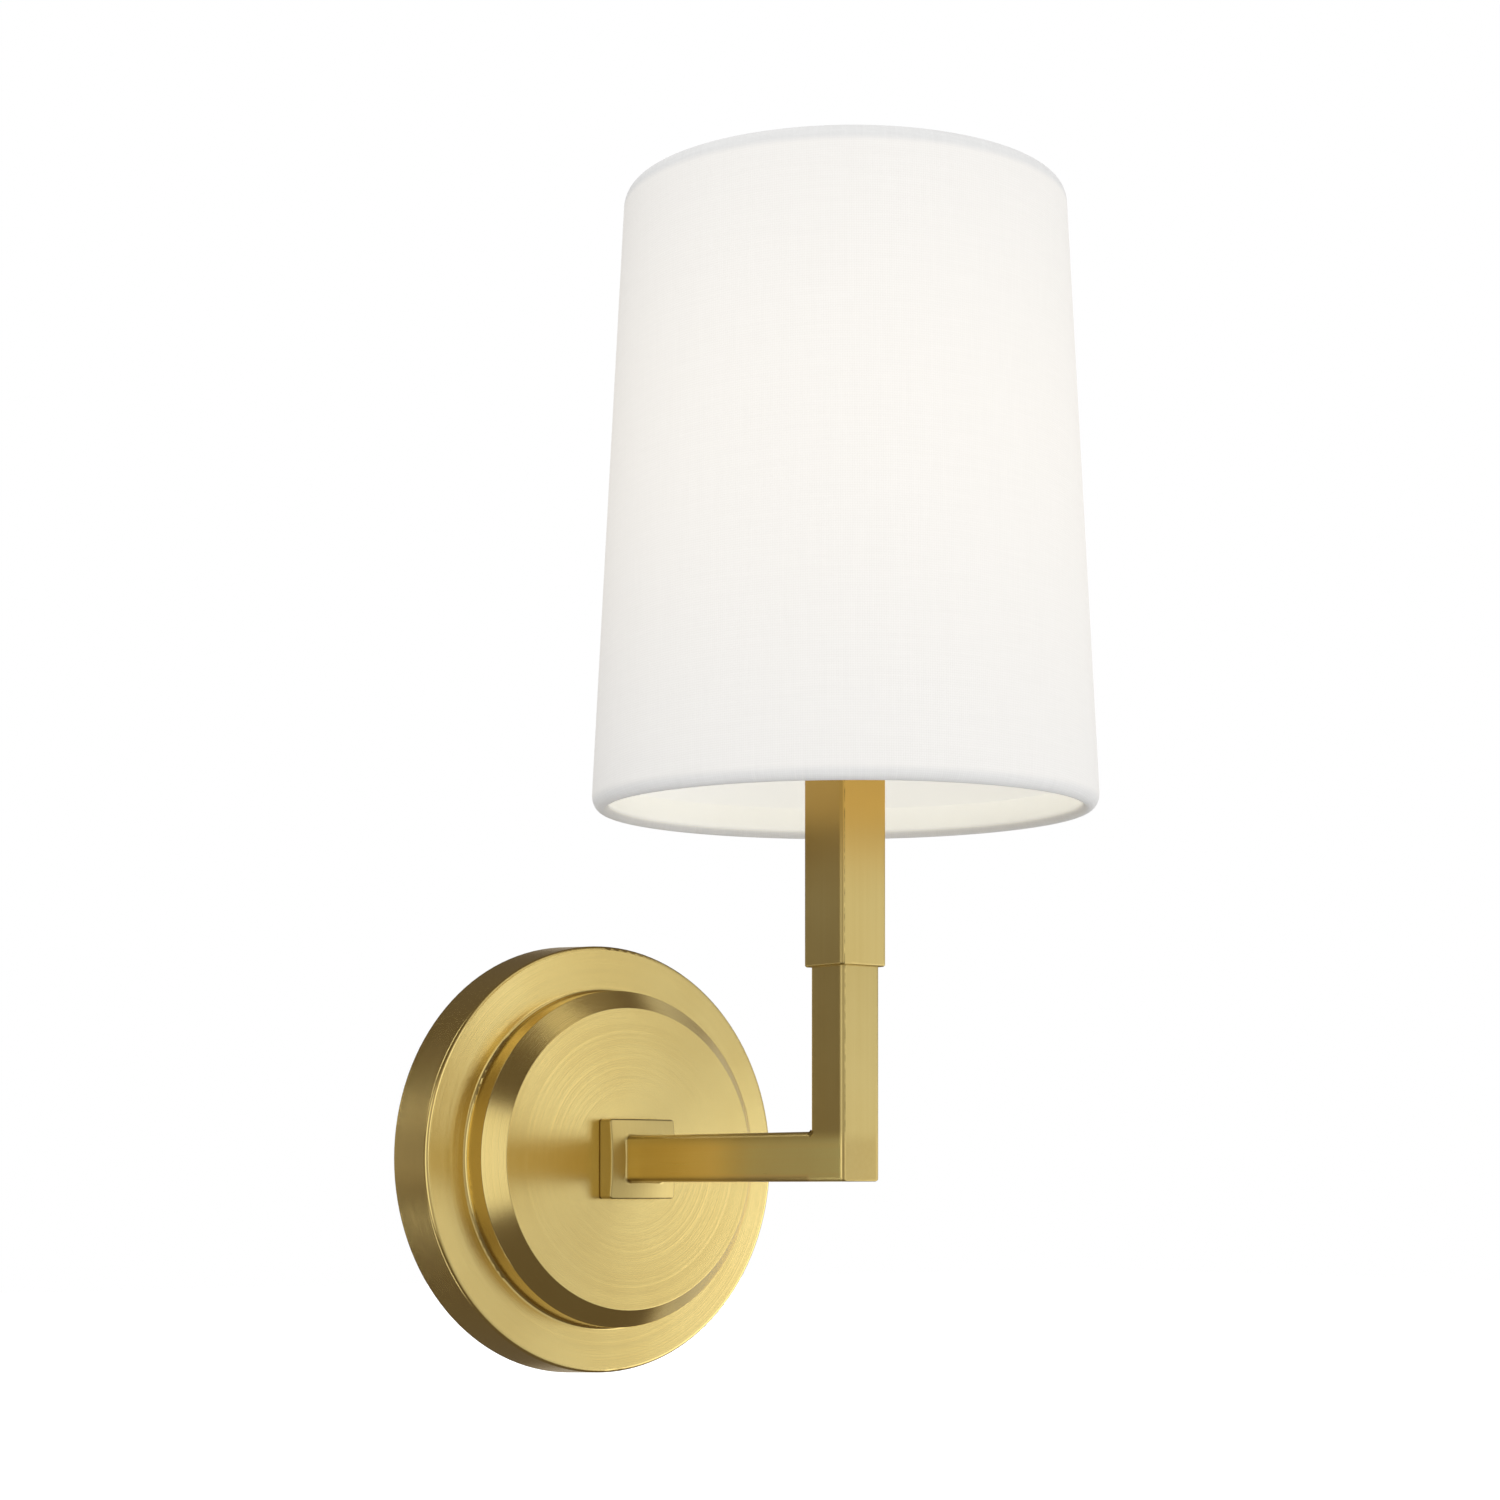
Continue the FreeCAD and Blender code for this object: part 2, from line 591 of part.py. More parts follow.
def hem(edge, inward):
    """Rolled fabric edge round a hoop; inward is +1 at the bottom edge and -1 at the top."""
    hoop_r = cone_radius(edge) - WIRE_INSET
    outer = cone_radius(edge) + HEM_STEP
    outer_far = cone_radius(edge + inward * HEM_HEIGHT) + HEM_STEP
    roll = RING_WIRE_R + 0.6
    middle = edge + inward * roll
    far = edge + inward * HEM_HEIGHT
    inner_far = cone_radius(far) - FABRIC - LINER - 0.4
    lip = 0.9

    def at(radius, height):
        return V(radius, -REACH, height)

    quarter = math.sqrt(0.5)
    outer_arc = Part.Arc(at(outer, edge + inward * lip),
                         at(outer - lip + lip * quarter, edge + inward * lip * (1 - quarter)),
                         at(outer - lip, edge))
    inner_arc = Part.Arc(at(hoop_r, edge),
                         at(hoop_r - roll * quarter, middle - inward * roll * quarter),
                         at(hoop_r - roll, middle))
    outline = Part.Wire([
        Part.LineSegment(at(outer_far, far), at(outer, edge + inward * lip)).toShape(),
        outer_arc.toShape(),
        Part.LineSegment(at(outer - lip, edge), at(hoop_r, edge)).toShape(),
        inner_arc.toShape(),
        Part.LineSegment(at(hoop_r - roll, middle), at(inner_far, far)).toShape(),
        Part.LineSegment(at(inner_far, far), at(outer_far, far)).toShape(),
    ])
    rolled = Part.Face(outline).revolve(V(0, -REACH, 0), V(0, 0, 1), 360)
    low, high = sorted((edge + inward * 0.6, edge + inward * (HEM_HEIGHT + 2)))
    wall = shade_layer(0, FABRIC + LINER, low, high)
    return rolled.cut(wall).cut(ring_wire(edge + inward * WIRE_RISE, 0.02))


SEAT_GAP = 0.05
WASHER_LOW = SHOULDER + SEAT_GAP
WASHER_HIGH = WASHER_LOW + 1.6
WASHER_HOLE_R = SKIRT_R + 0.3
ARM_WIRE_R = 1.2


def fitter_washer():
    """Steel washer at the heart of the shade; it drops over the lamp holder's skirt."""
    return riser_disc(FITTER_R, WASHER_LOW, WASHER_HIGH, WASHER_HOLE_R)


def fitter_arm(degrees):
    """Wire arm from the washer's rim out and down to the shade's bottom hoop."""
    hoop_height = SHADE_BOTTOM + WIRE_RISE
    hoop_r = cone_radius(hoop_height) - WIRE_INSET
    washer_mid = (WASHER_LOW + WASHER_HIGH) / 2
    path = [V(FITTER_R - 1.0, 0, washer_mid), V(FITTER_R + 7.0, 0, washer_mid), V(hoop_r, 0, hoop_height)]
    arm = rod(path, ARM_WIRE_R, [7.0])
    arm.rotate(V(0, 0, 0), V(0, 0, 1), degrees)
    arm = moved_to_riser(arm)
    return arm.cut(fitter_washer()).cut(ring_wire(hoop_height))


def shade_ring():
    """Moulded ring screwed down the skirt to clamp the shade, with finger grips."""
    low = WASHER_HIGH + SEAT_GAP
    high = low + 7.0
    ring = riser_disc(17.6, low, high, SKIRT_R + 0.1)
    grips = 24
    for turn in range(grips):
        angle = 2 * math.pi * turn / grips
        centre = V(18.0 * math.cos(angle), 18.0 * math.sin(angle) - REACH, low + 1.2)
        ring = ring.cut(Part.makeCylinder(0.9, high - low, centre))
    return ring


# ---------------------------------------------------------------- wires

LEAD_DEPTH = 8.0
CONNECTOR_Z = 18.0
CONNECTOR_X = -30.0
CONNECTOR_LENGTH = 19.0
CONNECTOR_R = 5.0


def supply_lead(side):
    """Insulated lead from a wire connector, through the tubes, to one terminal screw."""
    x = side * LEAD_GAP
    terminal = side * (TERMINAL_X - TERMINAL_HEAD_R)
    terminal_height = CORE_BOTTOM - 1.1
    route = [
        V(CONNECTOR_X - 6.0, -LEAD_DEPTH, side * CONNECTOR_Z),
        V(x, -LEAD_DEPTH, side * CONNECTOR_Z),
        V(x, -LEAD_DEPTH, 0),
        V(x, -REACH, 0),
        V(x, -REACH, terminal_height),
        V(terminal, -REACH, terminal_height),
    ]
    return rod(route, LEAD_R, [8.0, 7.0, 11.0, 2.0])


def wire_connector(side):
    """Tapered twist-on connector that caps the canopy end of one lead."""
    mouth = V(CONNECTOR_X, -LEAD_DEPTH, side * CONNECTOR_Z)
    body = Part.makeCone(CONNECTOR_R, 3.4, CONNECTOR_LENGTH, mouth, V(-1, 0, 0))
    return body.cut(Part.makeCylinder(LEAD_R, 6.0, mouth, V(-1, 0, 0)))


def ground_lead():
    """Bonding wire from the ring terminal round to the bracket's green screw."""
    low = GROUND_SCREW_Z - 11.0
    screw_side = BRACKET_THICK + 2.4
    head_low = GROUND_SCREW_Z - 3.5 / math.cos(math.pi / 6)
    route = [
        V(0, -LUG_MID, -LUG_BARREL_END),
        V(0, -LUG_MID, low),
        V(0, -screw_side, low),
        V(0, -screw_side, GROUND_SCREW_Z - 3.5),
    ]
    assert head_low < route[-1].z
    return rod(route, 0.9, [7.0, 4.0])


# ---------------------------------------------------------------- nodes

export("wall_bracket", wall_bracket())
export("canopy_screws", canopy_screw(1), canopy_screw(-1))
export("ground_screw", ground_screw())
export("canopy", canopy())
export("boss", boss())

export("arm_tube", arm_tube())
export("riser_tube", riser_tube())
export("arm_insert", arm_insert())
export("fixing_nipple", fixing_nipple())
export("backing_washer", wall_disc(12.0, WASHER_BACK, FACE_INSIDE, NIPPLE_CLEAR_R))
export("ground_lug", ground_lug())
export("lock_washer", lock_washer())
export("fixing_nut", hexagon(14.0, NUT_BACK, LOCK_BACK, NIPPLE_R))
export("wire_bushing", wire_bushing())

export("sleeve", sleeve())
export("sleeve_plug", sleeve_plug())
export("holder_nipple", holder_nipple())
export("holder_cup", holder_cup())
export("holder_base", holder_base())
export("holder_skirt", holder_skirt())
export("holder_core", holder_core())
export("terminal_screws", terminal_screw(-1), terminal_screw(1))
export("screw_shell", screw_shell())
export("centre_contact", centre_contact())

export("lamp_tip", riser_disc(2.3, TIP_BOTTOM, TIP_TOP))
export("lamp_insulator", lamp_insulator())
export("lamp_cap", lamp_cap())
export("lamp_glass", lamp_glass())
export("lamp_stem", lamp_stem())
export("lamp_frame", lamp_frame())
export("lamp_filaments", *[lamp_filament(turn) for turn in range(4)])

arms = [fitter_arm(degrees) for degrees in ARM_ANGLES]
bottom_hem = hem(SHADE_BOTTOM, 1)
for arm in arms:
    bottom_hem = bottom_hem.cut(arm)
export("shade_fabric", shade_layer(0, FABRIC, WALL_LOW, WALL_HIGH))
export("shade_liner", shade_layer(FABRIC, FABRIC + LINER, WALL_LOW, WALL_HIGH))
export("bottom_hoop", ring_wire(SHADE_BOTTOM + WIRE_RISE))
export("top_hoop", ring_wire(SHADE_TOP - WIRE_RISE))
export("bottom_hem", bottom_hem)
export("top_hem", hem(SHADE_TOP, -1))
export("fitter_washer", fitter_washer())
export("fitter_arms", *arms)
export("shade_ring", shade_ring())

export("live_lead", supply_lead(-1))
export("neutral_lead", supply_lead(1))
export("ground_lead", ground_lead())
export("wire_connectors", wire_connector(-1), wire_connector(1))
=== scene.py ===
# %% [markdown]
# # A wall sconce with a square brass arm and a linen shade
# The sconce is a stepped brass canopy, a rigid L of square tube, a square sleeve and a tapered
# white shade. Its shape was worked out in CAD, and this lesson gives it its looks.
# Every distance is in metres. The wall is the plane y = 0, the room is towards -Y, and Z is up.
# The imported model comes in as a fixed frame, so a new piece goes where its CAD node is.

# %% Load the frame
import json
import math

import bpy
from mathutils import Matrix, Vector


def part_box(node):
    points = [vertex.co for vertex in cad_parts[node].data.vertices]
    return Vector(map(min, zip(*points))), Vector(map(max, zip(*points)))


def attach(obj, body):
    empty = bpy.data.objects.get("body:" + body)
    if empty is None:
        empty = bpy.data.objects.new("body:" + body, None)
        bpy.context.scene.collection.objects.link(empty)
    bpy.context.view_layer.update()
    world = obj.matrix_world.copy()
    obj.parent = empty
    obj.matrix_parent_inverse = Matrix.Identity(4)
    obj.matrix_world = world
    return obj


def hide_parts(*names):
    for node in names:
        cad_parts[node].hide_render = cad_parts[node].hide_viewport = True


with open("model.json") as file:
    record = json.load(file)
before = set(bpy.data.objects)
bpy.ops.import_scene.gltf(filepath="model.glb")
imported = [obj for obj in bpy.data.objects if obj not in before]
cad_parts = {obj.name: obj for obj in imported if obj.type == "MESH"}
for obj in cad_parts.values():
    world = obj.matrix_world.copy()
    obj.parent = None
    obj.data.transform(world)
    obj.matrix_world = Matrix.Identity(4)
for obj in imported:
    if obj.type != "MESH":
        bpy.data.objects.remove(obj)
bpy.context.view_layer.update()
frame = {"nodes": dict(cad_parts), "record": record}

# %% [markdown]
# ## The camera
# The sconce is seen from its left, a little below the canopy's middle, with a level camera.
# A level camera keeps upright edges upright. The shade stands high in the picture, and a
# camera could be tilted up to take it in, but then the tubes would lean, so the lens is
# shifted instead, as on a view camera.

# %% Stand the camera
CAMERA_AT = (-0.5420, -0.7607, -0.0086)
CAMERA_TURN = math.radians(-38.302)
LENS = 74.345
SENSOR = 36
LENS_SHIFT = (0.0145, 0.2923)

bpy.ops.object.select_all(action="DESELECT")
bpy.ops.object.camera_add(location=CAMERA_AT, rotation=(math.radians(90), 0, CAMERA_TURN))
camera = bpy.context.object
camera.name = "camera"
camera.data.sensor_width = SENSOR
camera.data.lens = LENS
camera.data.shift_x, camera.data.shift_y = LENS_SHIFT
bpy.context.scene.camera = camera
print("camera lens:", round(camera.data.lens, 2), "mm")

# %% [markdown]
# ## Places read from the frame
# The pieces that are made again here have to sit exactly where their CAD solids are.
# Numbers could be copied over by hand, but they would go stale, so the main ones are read
# from the nodes' boxes: the riser's axis, the tube's side, and the shade's two rims. The cone
# narrows by 9 mm over its 165 mm.

# %% Measure the frame
MM = 0.001
RIM_PROUD = 0.35 * MM
CONE_SLOPE = 9.0 / 165.0

riser_low, riser_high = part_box("riser_tube")
RISER_Y = (riser_low[1] + riser_high[1]) / 2
RISER_TOP = riser_high[2]
TUBE_SIDE = riser_high[0] - riser_low[0]
ARM_WALL_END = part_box("arm_tube")[1][1]
SHADE_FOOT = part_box("bottom_hem")[0][2]
SHADE_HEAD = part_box("top_hem")[1][2]
FOOT_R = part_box("bottom_hem")[1][0] - RIM_PROUD


def cone_r(z):
    """Radius of the shade's outer face at a height; the height may be a number or a signal."""
    return FOOT_R - CONE_SLOPE * (z - SHADE_FOOT)


HEAD_R = cone_r(SHADE_HEAD)
print("riser axis y", round(RISER_Y / MM, 2), "tube", round(TUBE_SIDE / MM, 2),
      "shade radii", round(FOOT_R / MM, 2), round(HEAD_R / MM, 2))

# %% [markdown]
# ## Arithmetic on shader sockets
# A brushed or woven finish is a small calculation: sines for threads, noise for scratches,
# a mask for where two finishes meet. Wiring Math nodes by hand hides that calculation, so a
# small class wraps a socket and lets it be written as ordinary arithmetic.
# Every other node comes from one method that takes its type, its settings and its inputs.

# %% Signals and finishes
def arithmetic(operation, swapped=False):
    """A method that adds one Math node; swapped is for a plain number on the left."""
    def method(self, other):
        pair = (other, self) if swapped else (self, other)
        return self.finish.calculate(operation, *pair)
    return method


class Signal:
    """One value that varies over a surface, with arithmetic that adds Math nodes."""

    def __init__(self, finish, socket):
        self.finish = finish
        self.socket = socket

    __add__, __radd__ = arithmetic("ADD"), arithmetic("ADD", swapped=True)
    __sub__, __rsub__ = arithmetic("SUBTRACT"), arithmetic("SUBTRACT", swapped=True)
    __mul__, __rmul__ = arithmetic("MULTIPLY"), arithmetic("MULTIPLY", swapped=True)
    __mod__ = arithmetic("FLOORED_MODULO")

    def __neg__(self):
        return self * -1.0

    def __abs__(self):
        return self.finish.calculate("ABSOLUTE", self)


class Finish:
    """One node tree, built by asking for nodes and calculating with what they give."""

    def __init__(self, tree):
        self.tree = tree
        tree.nodes.clear()

    def node(self, kind, settings=None, inputs=None, output=0):
        """Adds a node, sets it up, feeds its inputs and returns one of its outputs."""
        made = self.tree.nodes.new(kind)
        for key, value in (settings or {}).items():
            setattr(made, key, value)
        for key, value in (inputs or {}).items():
            if isinstance(value, Signal):
                self.tree.links.new(value.socket, made.inputs[key])
            else:
                made.inputs[key].default_value = value
        return Signal(self, made.outputs[output])

    def calculate(self, operation, *values):
        """One Math node over one or two values."""
        return self.node("ShaderNodeMath", {"operation": operation}, dict(enumerate(values)))

    def larger(self, one, other):
        return self.calculate("MAXIMUM", one, other)

    def step(self, value, low, high):
        """0 below low, 1 above high, and a smooth rise between them."""
        return self.node("ShaderNodeMapRange", {"interpolation_type": "SMOOTHSTEP"},
                         {"Value": value, "From Min": low, "From Max": high})

    def window(self, value, low, high, soft):
        """1 between low and high, with soft edges."""
        rise = self.step(value, low - soft, low + soft)
        fall = self.step(value, high - soft, high + soft)
        return rise - fall

    def spot(self):
        """Object coordinates, as one vector."""
        return self.node("ShaderNodeTexCoord", output="Object")

    def parts(self, vector):
        """The three numbers of a vector, as separate signals."""
        return [self.node("ShaderNodeSeparateXYZ", {}, {0: vector}, axis) for axis in range(3)]

    def place(self):
        """Object coordinates, as three separate signals."""
        return self.parts(self.spot())

    def vector(self, x, y, z):
        return self.node("ShaderNodeCombineXYZ", {}, {0: x, 1: y, 2: z})

    def noise(self, vector, scale=1.0, detail=2.0, roughness=0.5):
        """Smooth random value from about 0.3 to 0.7 round a middle of 0.5."""
        inputs = {"Vector": vector, "Scale": scale, "Detail": detail, "Roughness": roughness}
        return self.node("ShaderNodeTexNoise", {"noise_dimensions": "3D"}, inputs)

    def mix(self, factor, one, other):
        """Colour between two colours; 6, 7 and 2 are the Mix node's colour sockets."""
        return self.node("ShaderNodeMix", {"data_type": "RGBA"}, {0: factor, 6: one, 7: other}, 2)

    def tint(self, colour, amount):
        """A colour made lighter or darker by a signal near 1."""
        factor = self.vector(amount, amount, amount)
        return self.node("ShaderNodeVectorMath", {"operation": "MULTIPLY"},
                         {0: colour, 1: factor})

    def bump(self, height, distance, strength):
        """A normal leaned by a height signal; distance is how high 1 stands, in metres."""
        inputs = {"Height": height, "Distance": distance, "Strength": strength}
        return self.node("ShaderNodeBump", {}, inputs)

    def principled(self, **inputs):
        """The general surface shader; base_color feeds the socket called Base Color."""
        named = {key.replace("_", " ").title().replace("Ior", "IOR"): value
                 for key, value in inputs.items()}
        return self.node("ShaderNodeBsdfPrincipled", {}, named)

    def output(self, surface, kind="ShaderNodeOutputMaterial"):
        """Ends the tree; the output node has no sockets to give back."""
        made = self.tree.nodes.new(kind)
        self.tree.links.new(surface.socket, made.inputs["Surface"])


def new_finish(name):
    """An empty material and the finish that fills it."""
    material = bpy.data.materials.new(name)
    material.use_nodes = True
    return material, Finish(material.node_tree)


print("finishes ready")

# %% [markdown]
# ## Satin brass
# The canopy, arm and sleeve are brass, brushed with a fine belt or a turning pad and then
# lacquered. Brushing leaves thousands of parallel scratches too fine to see one by one, but
# they stretch every reflection across themselves. One way is a constant anisotropic gloss,
# another is a fine bump of real scratches. Here the scratches are noise squeezed into lines,
# round the axis on turned parts and lengthwise on the tubes, and the tubes' long straight
# grain gets the shader's anisotropy as well.
# The base is deeper than the colour one remembers, because a mirror-like metal shows only
# what it reflects, tinted. In places the colour is painted towards a warm or a dark brown:
# warm at the sleeve's top as a painted reflection of the lit shade, a little warm all over the
# arm, and dark brown as painted shade along edges, at the boss's foot and over the sleeve's
# left face.

# %% Brass colours
BRASS = (0.86, 0.69, 0.285, 1)
BRASS_DEEP = (0.80, 0.62, 0.235, 1)
BRASS_WARM = (0.80, 0.50, 0.125, 1)
BRASS_SHADE = (0.17, 0.115, 0.04, 1)
CLOUD_SCALE = 22.0      # clouds of colour about 45 mm across
STREAK_SHARE = 0.25     # of the colour's change; the clouds have the rest
STREAK_HEIGHT = 0.05    # of a scratch's height
TINT_SPREAD = 0.06
GLOSS_SPREAD = 0.08
FLAT_SCRATCH = 0.012 * MM
BRUSHED_BUMP = 0.8


def brushed(finish, scratches, streaks, roughness, turn=0.0, anisotropic=0.0,
            depth=FLAT_SCRATCH, warmed=None, edges=None, tone=1.0):
    """Brass gloss with a brushed bump; scratches and streaks are places squeezed along it."""
    scratch = finish.noise(scratches, 1.0, 3.0, 0.6)
    streak = finish.noise(streaks)
    cloud = finish.noise(finish.spot(), CLOUD_SCALE, 3.0)
    patch = streak * STREAK_SHARE + cloud * (1 - STREAK_SHARE)
    colour = finish.mix(finish.step(patch, 0.3, 0.7), BRASS_DEEP, BRASS)
    # The warmed mask paints a warm tint: a painted reflection of the lit shade on the sleeve's
    # top, and a little warmth all over the arm.
    if warmed is not None:
        colour = finish.mix(warmed, colour, BRASS_WARM)
    # The edges mask paints shade: dark lines and a browner face.
    if edges is not None:
        colour = finish.mix(edges, colour, BRASS_SHADE)
    # The tone paints the part lighter or darker, as painted light and shade for how light falls on
    # it.
    colour = finish.tint(colour, tone * (1 - TINT_SPREAD / 2 + TINT_SPREAD * scratch))
    gloss = roughness + GLOSS_SPREAD * (cloud - 0.5) + GLOSS_SPREAD * (scratch - 0.5)
    normal = finish.bump(scratch + STREAK_HEIGHT * streak, depth, BRUSHED_BUMP)
    inputs = dict(base_color=colour, metallic=1.0, roughness=gloss, normal=normal)
    if anisotropic:
        inputs.update(anisotropic=anisotropic, anisotropic_rotation=turn)
    return finish.principled(**inputs)


def brass(name, grain, warmed=None, edges=None, **look):
    """A brushed brass; grain squeezes the noise, and warmed and edges draw masks of painted light
    and shade.
    """
    material, finish = new_finish(name)
    where = finish.place()
    masks = {key: draw(finish, where)
             for key, draw in (("warmed", warmed), ("edges", edges)) if draw}
    finish.output(brushed(finish, *grain(finish, where), **look, **masks))
    return material


print("brass base", BRASS[:3])

# %% [markdown]
# The canopy is turned on a lathe, so its scratches are circles round the wall axis. Radius and
# depth together tell which circle a point is on, on the flat faces as well as on the rim. The
# noise is fast across the circles and has hardly any change along them.

# %% Finish the turned brass
SCRATCH_ACROSS = 5200.0     # noise cells in a metre, across the grain
TURNED_STREAK = 900.0
TURNED_LOOK = {"roughness": 0.21, "depth": 0.035 * MM}


def radius_from(u, v, v_middle=0.0):
    """Distance from an axis, from two of the three coordinates."""
    def measured(finish, where):
        a, b = where[u], where[v] - v_middle
        return finish.calculate("SQRT", a * a + b * b)
    return measured


def turned(radius, axis):
    """Grain in circles round an axis, named by their radius and their place along it."""
    def squeezed(finish, where):
        circle = radius(finish, where)
        return [finish.vector(circle * scale, where[axis] * scale, 0.0)
                for scale in (SCRATCH_ACROSS, TURNED_STREAK)]
    return squeezed


canopy_brass = brass("canopy_brass", turned(radius_from(0, 2), 1), **TURNED_LOOK)
cup_brass = brass("cup_brass", turned(radius_from(0, 1, RISER_Y), 2), **TURNED_LOOK)
print("turned brass:", canopy_brass.name, cup_brass.name)

# %% [markdown]
# The sleeve and the boss are brushed upright, and the arm and its braze lengthwise. The same
# finish with the noise squeezed along another axis gives both. The sleeve's colour is painted
# warmer upwards, a painted reflection of the lit shade just above it, and its left face is
# painted a little browner, as painted shade, with a painted dark line beside its front corner.
# The boss has painted dark lines of shade at its foot and along three edges of its face.

# %% Finish the straight brass
GRAIN = {"y": (1, 0, 2), "z": (2, 0, 1)}
SCRATCH_ALONG = 26.0
STREAK_ACROSS = 800.0
STREAK_ALONG = 9.0
# The tones below paint each part lighter or darker, as painted light and shade.
TUBE_TONE = 0.83
HAIRLINE = (0.95 * MM, 1.2 * MM)    # from and to, in from the corner
HAIRLINE_SOFT = 0.08 * MM
HAIRLINE_BREAKS = 260.0
HAIRLINE_DARK = 0.75
# Heights where the sleeve's colour is painted warm, as a painted reflection of the lit shade.
WARM_FROM, WARM_TO = 66.0 * MM, 96.0 * MM
WARM_RAGGED = 4.0 * MM
# Painted shade over the sleeve's left face.
LEFT_SHADE, LEFT_SHADE_MORE = 0.22, 0.20      # low on the left face, and how much more at its top
BOSS_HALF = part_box("boss")[1][0]
BOSS_FACE_Y, BOSS_FOOT_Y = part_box("boss")[0][1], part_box("boss")[1][1]
BOSS_LINE_DARK = 0.8
SLEEVE_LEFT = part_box("sleeve")[0][0]


def lengthwise(direction):
    """Grain that runs along y or z."""
    scales = (SCRATCH_ALONG, SCRATCH_ACROSS), (STREAK_ALONG, STREAK_ACROSS)

    def squeezed(finish, where):
        run, one, other = (where[axis] for axis in GRAIN[direction])
        return [finish.vector(run * along, one * across, other * across)
                for along, across in scales]
    return squeezed


def painted_corner_line(half):
    """A broken dark hairline painted beside the front left corner of an upright tube, a painted
    dark reflection.
    """
    def drawn(finish, where):
        beside = finish.window(where[0], HAIRLINE[0] - half, HAIRLINE[1] - half, HAIRLINE_SOFT)
        front = RISER_Y - half
        in_front = 1 - finish.step(where[1], front + 0.2 * MM, front + 0.5 * MM)
        height = finish.vector(0.0, 0.0, where[2] * HAIRLINE_BREAKS)
        broken = finish.step(finish.noise(height), 0.35, 0.6)
        return HAIRLINE_DARK * beside * in_front * broken
    return drawn


def near_the_lamp(finish, where):
    """0 low on the sleeve and 1 at its top, with a ragged edge: where the painted warm reflection
    and more painted shade go.
    """
    ragged = finish.noise(finish.spot(), 60.0)
    height = where[2] + (ragged - 0.5) * WARM_RAGGED
    return finish.step(height, WARM_FROM, WARM_TO)


def boss_painted_shade(finish, where):
    """Painted shade: dark lines along three edges of the boss's face and at its foot."""
    outward = finish.larger(where[0], abs(where[2]))
    edge = finish.step(outward, BOSS_HALF - 0.5 * MM, BOSS_HALF - 0.1 * MM)
    at_face = 1 - finish.step(where[1], BOSS_FACE_Y + 1.4 * MM, BOSS_FACE_Y + 1.9 * MM)
    foot = finish.step(where[1], BOSS_FOOT_Y - 0.55 * MM, BOSS_FOOT_Y - 0.25 * MM)
    return BOSS_LINE_DARK * finish.larger(edge * at_face, foot)


def sleeve_painted_shade(finish, where):
    """Painted shade: a dark line by the front corner, and a little browner over the left face."""
    side = 1 - finish.step(where[0], SLEEVE_LEFT + 0.3 * MM, SLEEVE_LEFT + 1.0 * MM)
    left_shade = side * (LEFT_SHADE + LEFT_SHADE_MORE * near_the_lamp(finish, where))
    return finish.larger(left_shade, painted_corner_line(-SLEEVE_LEFT)(finish, where))


sleeve_brass = brass("sleeve_brass", lengthwise("z"), near_the_lamp, sleeve_painted_shade,
                     roughness=0.38, anisotropic=0.5, tone=TUBE_TONE)
boss_brass = brass("boss_brass", lengthwise("z"), edges=boss_painted_shade, roughness=0.40, tone=0.79)
print("straight brass:", sleeve_brass.name, boss_brass.name)

# %% [markdown]
# The arm and the riser are welded at the elbow, ground flush and brushed together, each along
# its own length. The grain turns from level to upright a few millimetres above the elbow, and
# the reflections change softly there, because each grain stretches them its own way. Two gloss
# shaders with different grain, mixed by height, show that. Their colours are painted lighter
# or darker as well, as painted light and shade: the arm is painted lighter away from the wall,
# and the elbow's front face is painted as dark as the riser.

# %% Finish the arm
# Painted light and shade: the arm's, elbow's and riser's tones, and a little warmth on the arm.
ARM_TONE = 1.07
ARM_TONE_GAIN = 0.26
ARM_GAIN_FROM, ARM_GAIN_TO = 40 * MM, 105 * MM      # out from the wall
ARM_WARMED = 0.12
ELBOW_TONE = 0.79
RISER_TONE = 0.77
TUBE_GLOSS = 0.30
TUBE_STRETCH = 0.75
LEVEL_TURN, UPRIGHT_TURN = 0.25, 0.0    # of the stretch, in whole turns
ABOVE_DARK, BELOW_DARK = 0.95, 0.5
GRAIN_TURNS = (2.5 * MM, 7.5 * MM)


def arm_painted_shade(finish, where):
    """Painted shade along the level arm's long edges, wider below than above."""
    above = finish.step(where[2], 5.7 * MM, 6.3 * MM)
    below = 1 - finish.step(where[2], -6.5 * MM, -4.6 * MM)
    riser_back = RISER_Y + TUBE_SIDE / 2
    clear_of_riser = finish.step(where[1], riser_back, riser_back + 2 * MM)
    return (ABOVE_DARK * above + BELOW_DARK * below) * clear_of_riser


def arm_brass_finish():
    """Two brushed glosses, one with level grain and one with upright grain, mixed by height."""
    material, finish = new_finish("arm_brass")
    where = finish.place()
    front = RISER_Y - TUBE_SIDE / 2
    elbow_front = 1 - finish.step(where[1], front + 0.3 * MM, front + 0.9 * MM)
    arm_tone = ARM_TONE + ARM_TONE_GAIN * finish.step(-where[1], ARM_GAIN_FROM, ARM_GAIN_TO)
    level_tone = arm_tone - elbow_front * (arm_tone - ELBOW_TONE)
    riser_line = painted_corner_line(TUBE_SIDE / 2)(finish, where)
    gloss = []
    for direction, turn, warmed, edges, tone in (
            ("y", LEVEL_TURN, ARM_WARMED, arm_painted_shade(finish, where), level_tone),
            ("z", UPRIGHT_TURN, None, riser_line, RISER_TONE)):
        gloss.append(brushed(finish, *lengthwise(direction)(finish, where), TUBE_GLOSS, turn,
                             TUBE_STRETCH, warmed=warmed, edges=edges, tone=tone))
    elbow = finish.step(where[2], *GRAIN_TURNS)
    joined = finish.node("ShaderNodeMixShader", {}, {0: elbow, 1: gloss[0], 2: gloss[1]})
    finish.output(joined)
    return material


arm_brass = arm_brass_finish()
print("arm brass:", arm_brass.name)
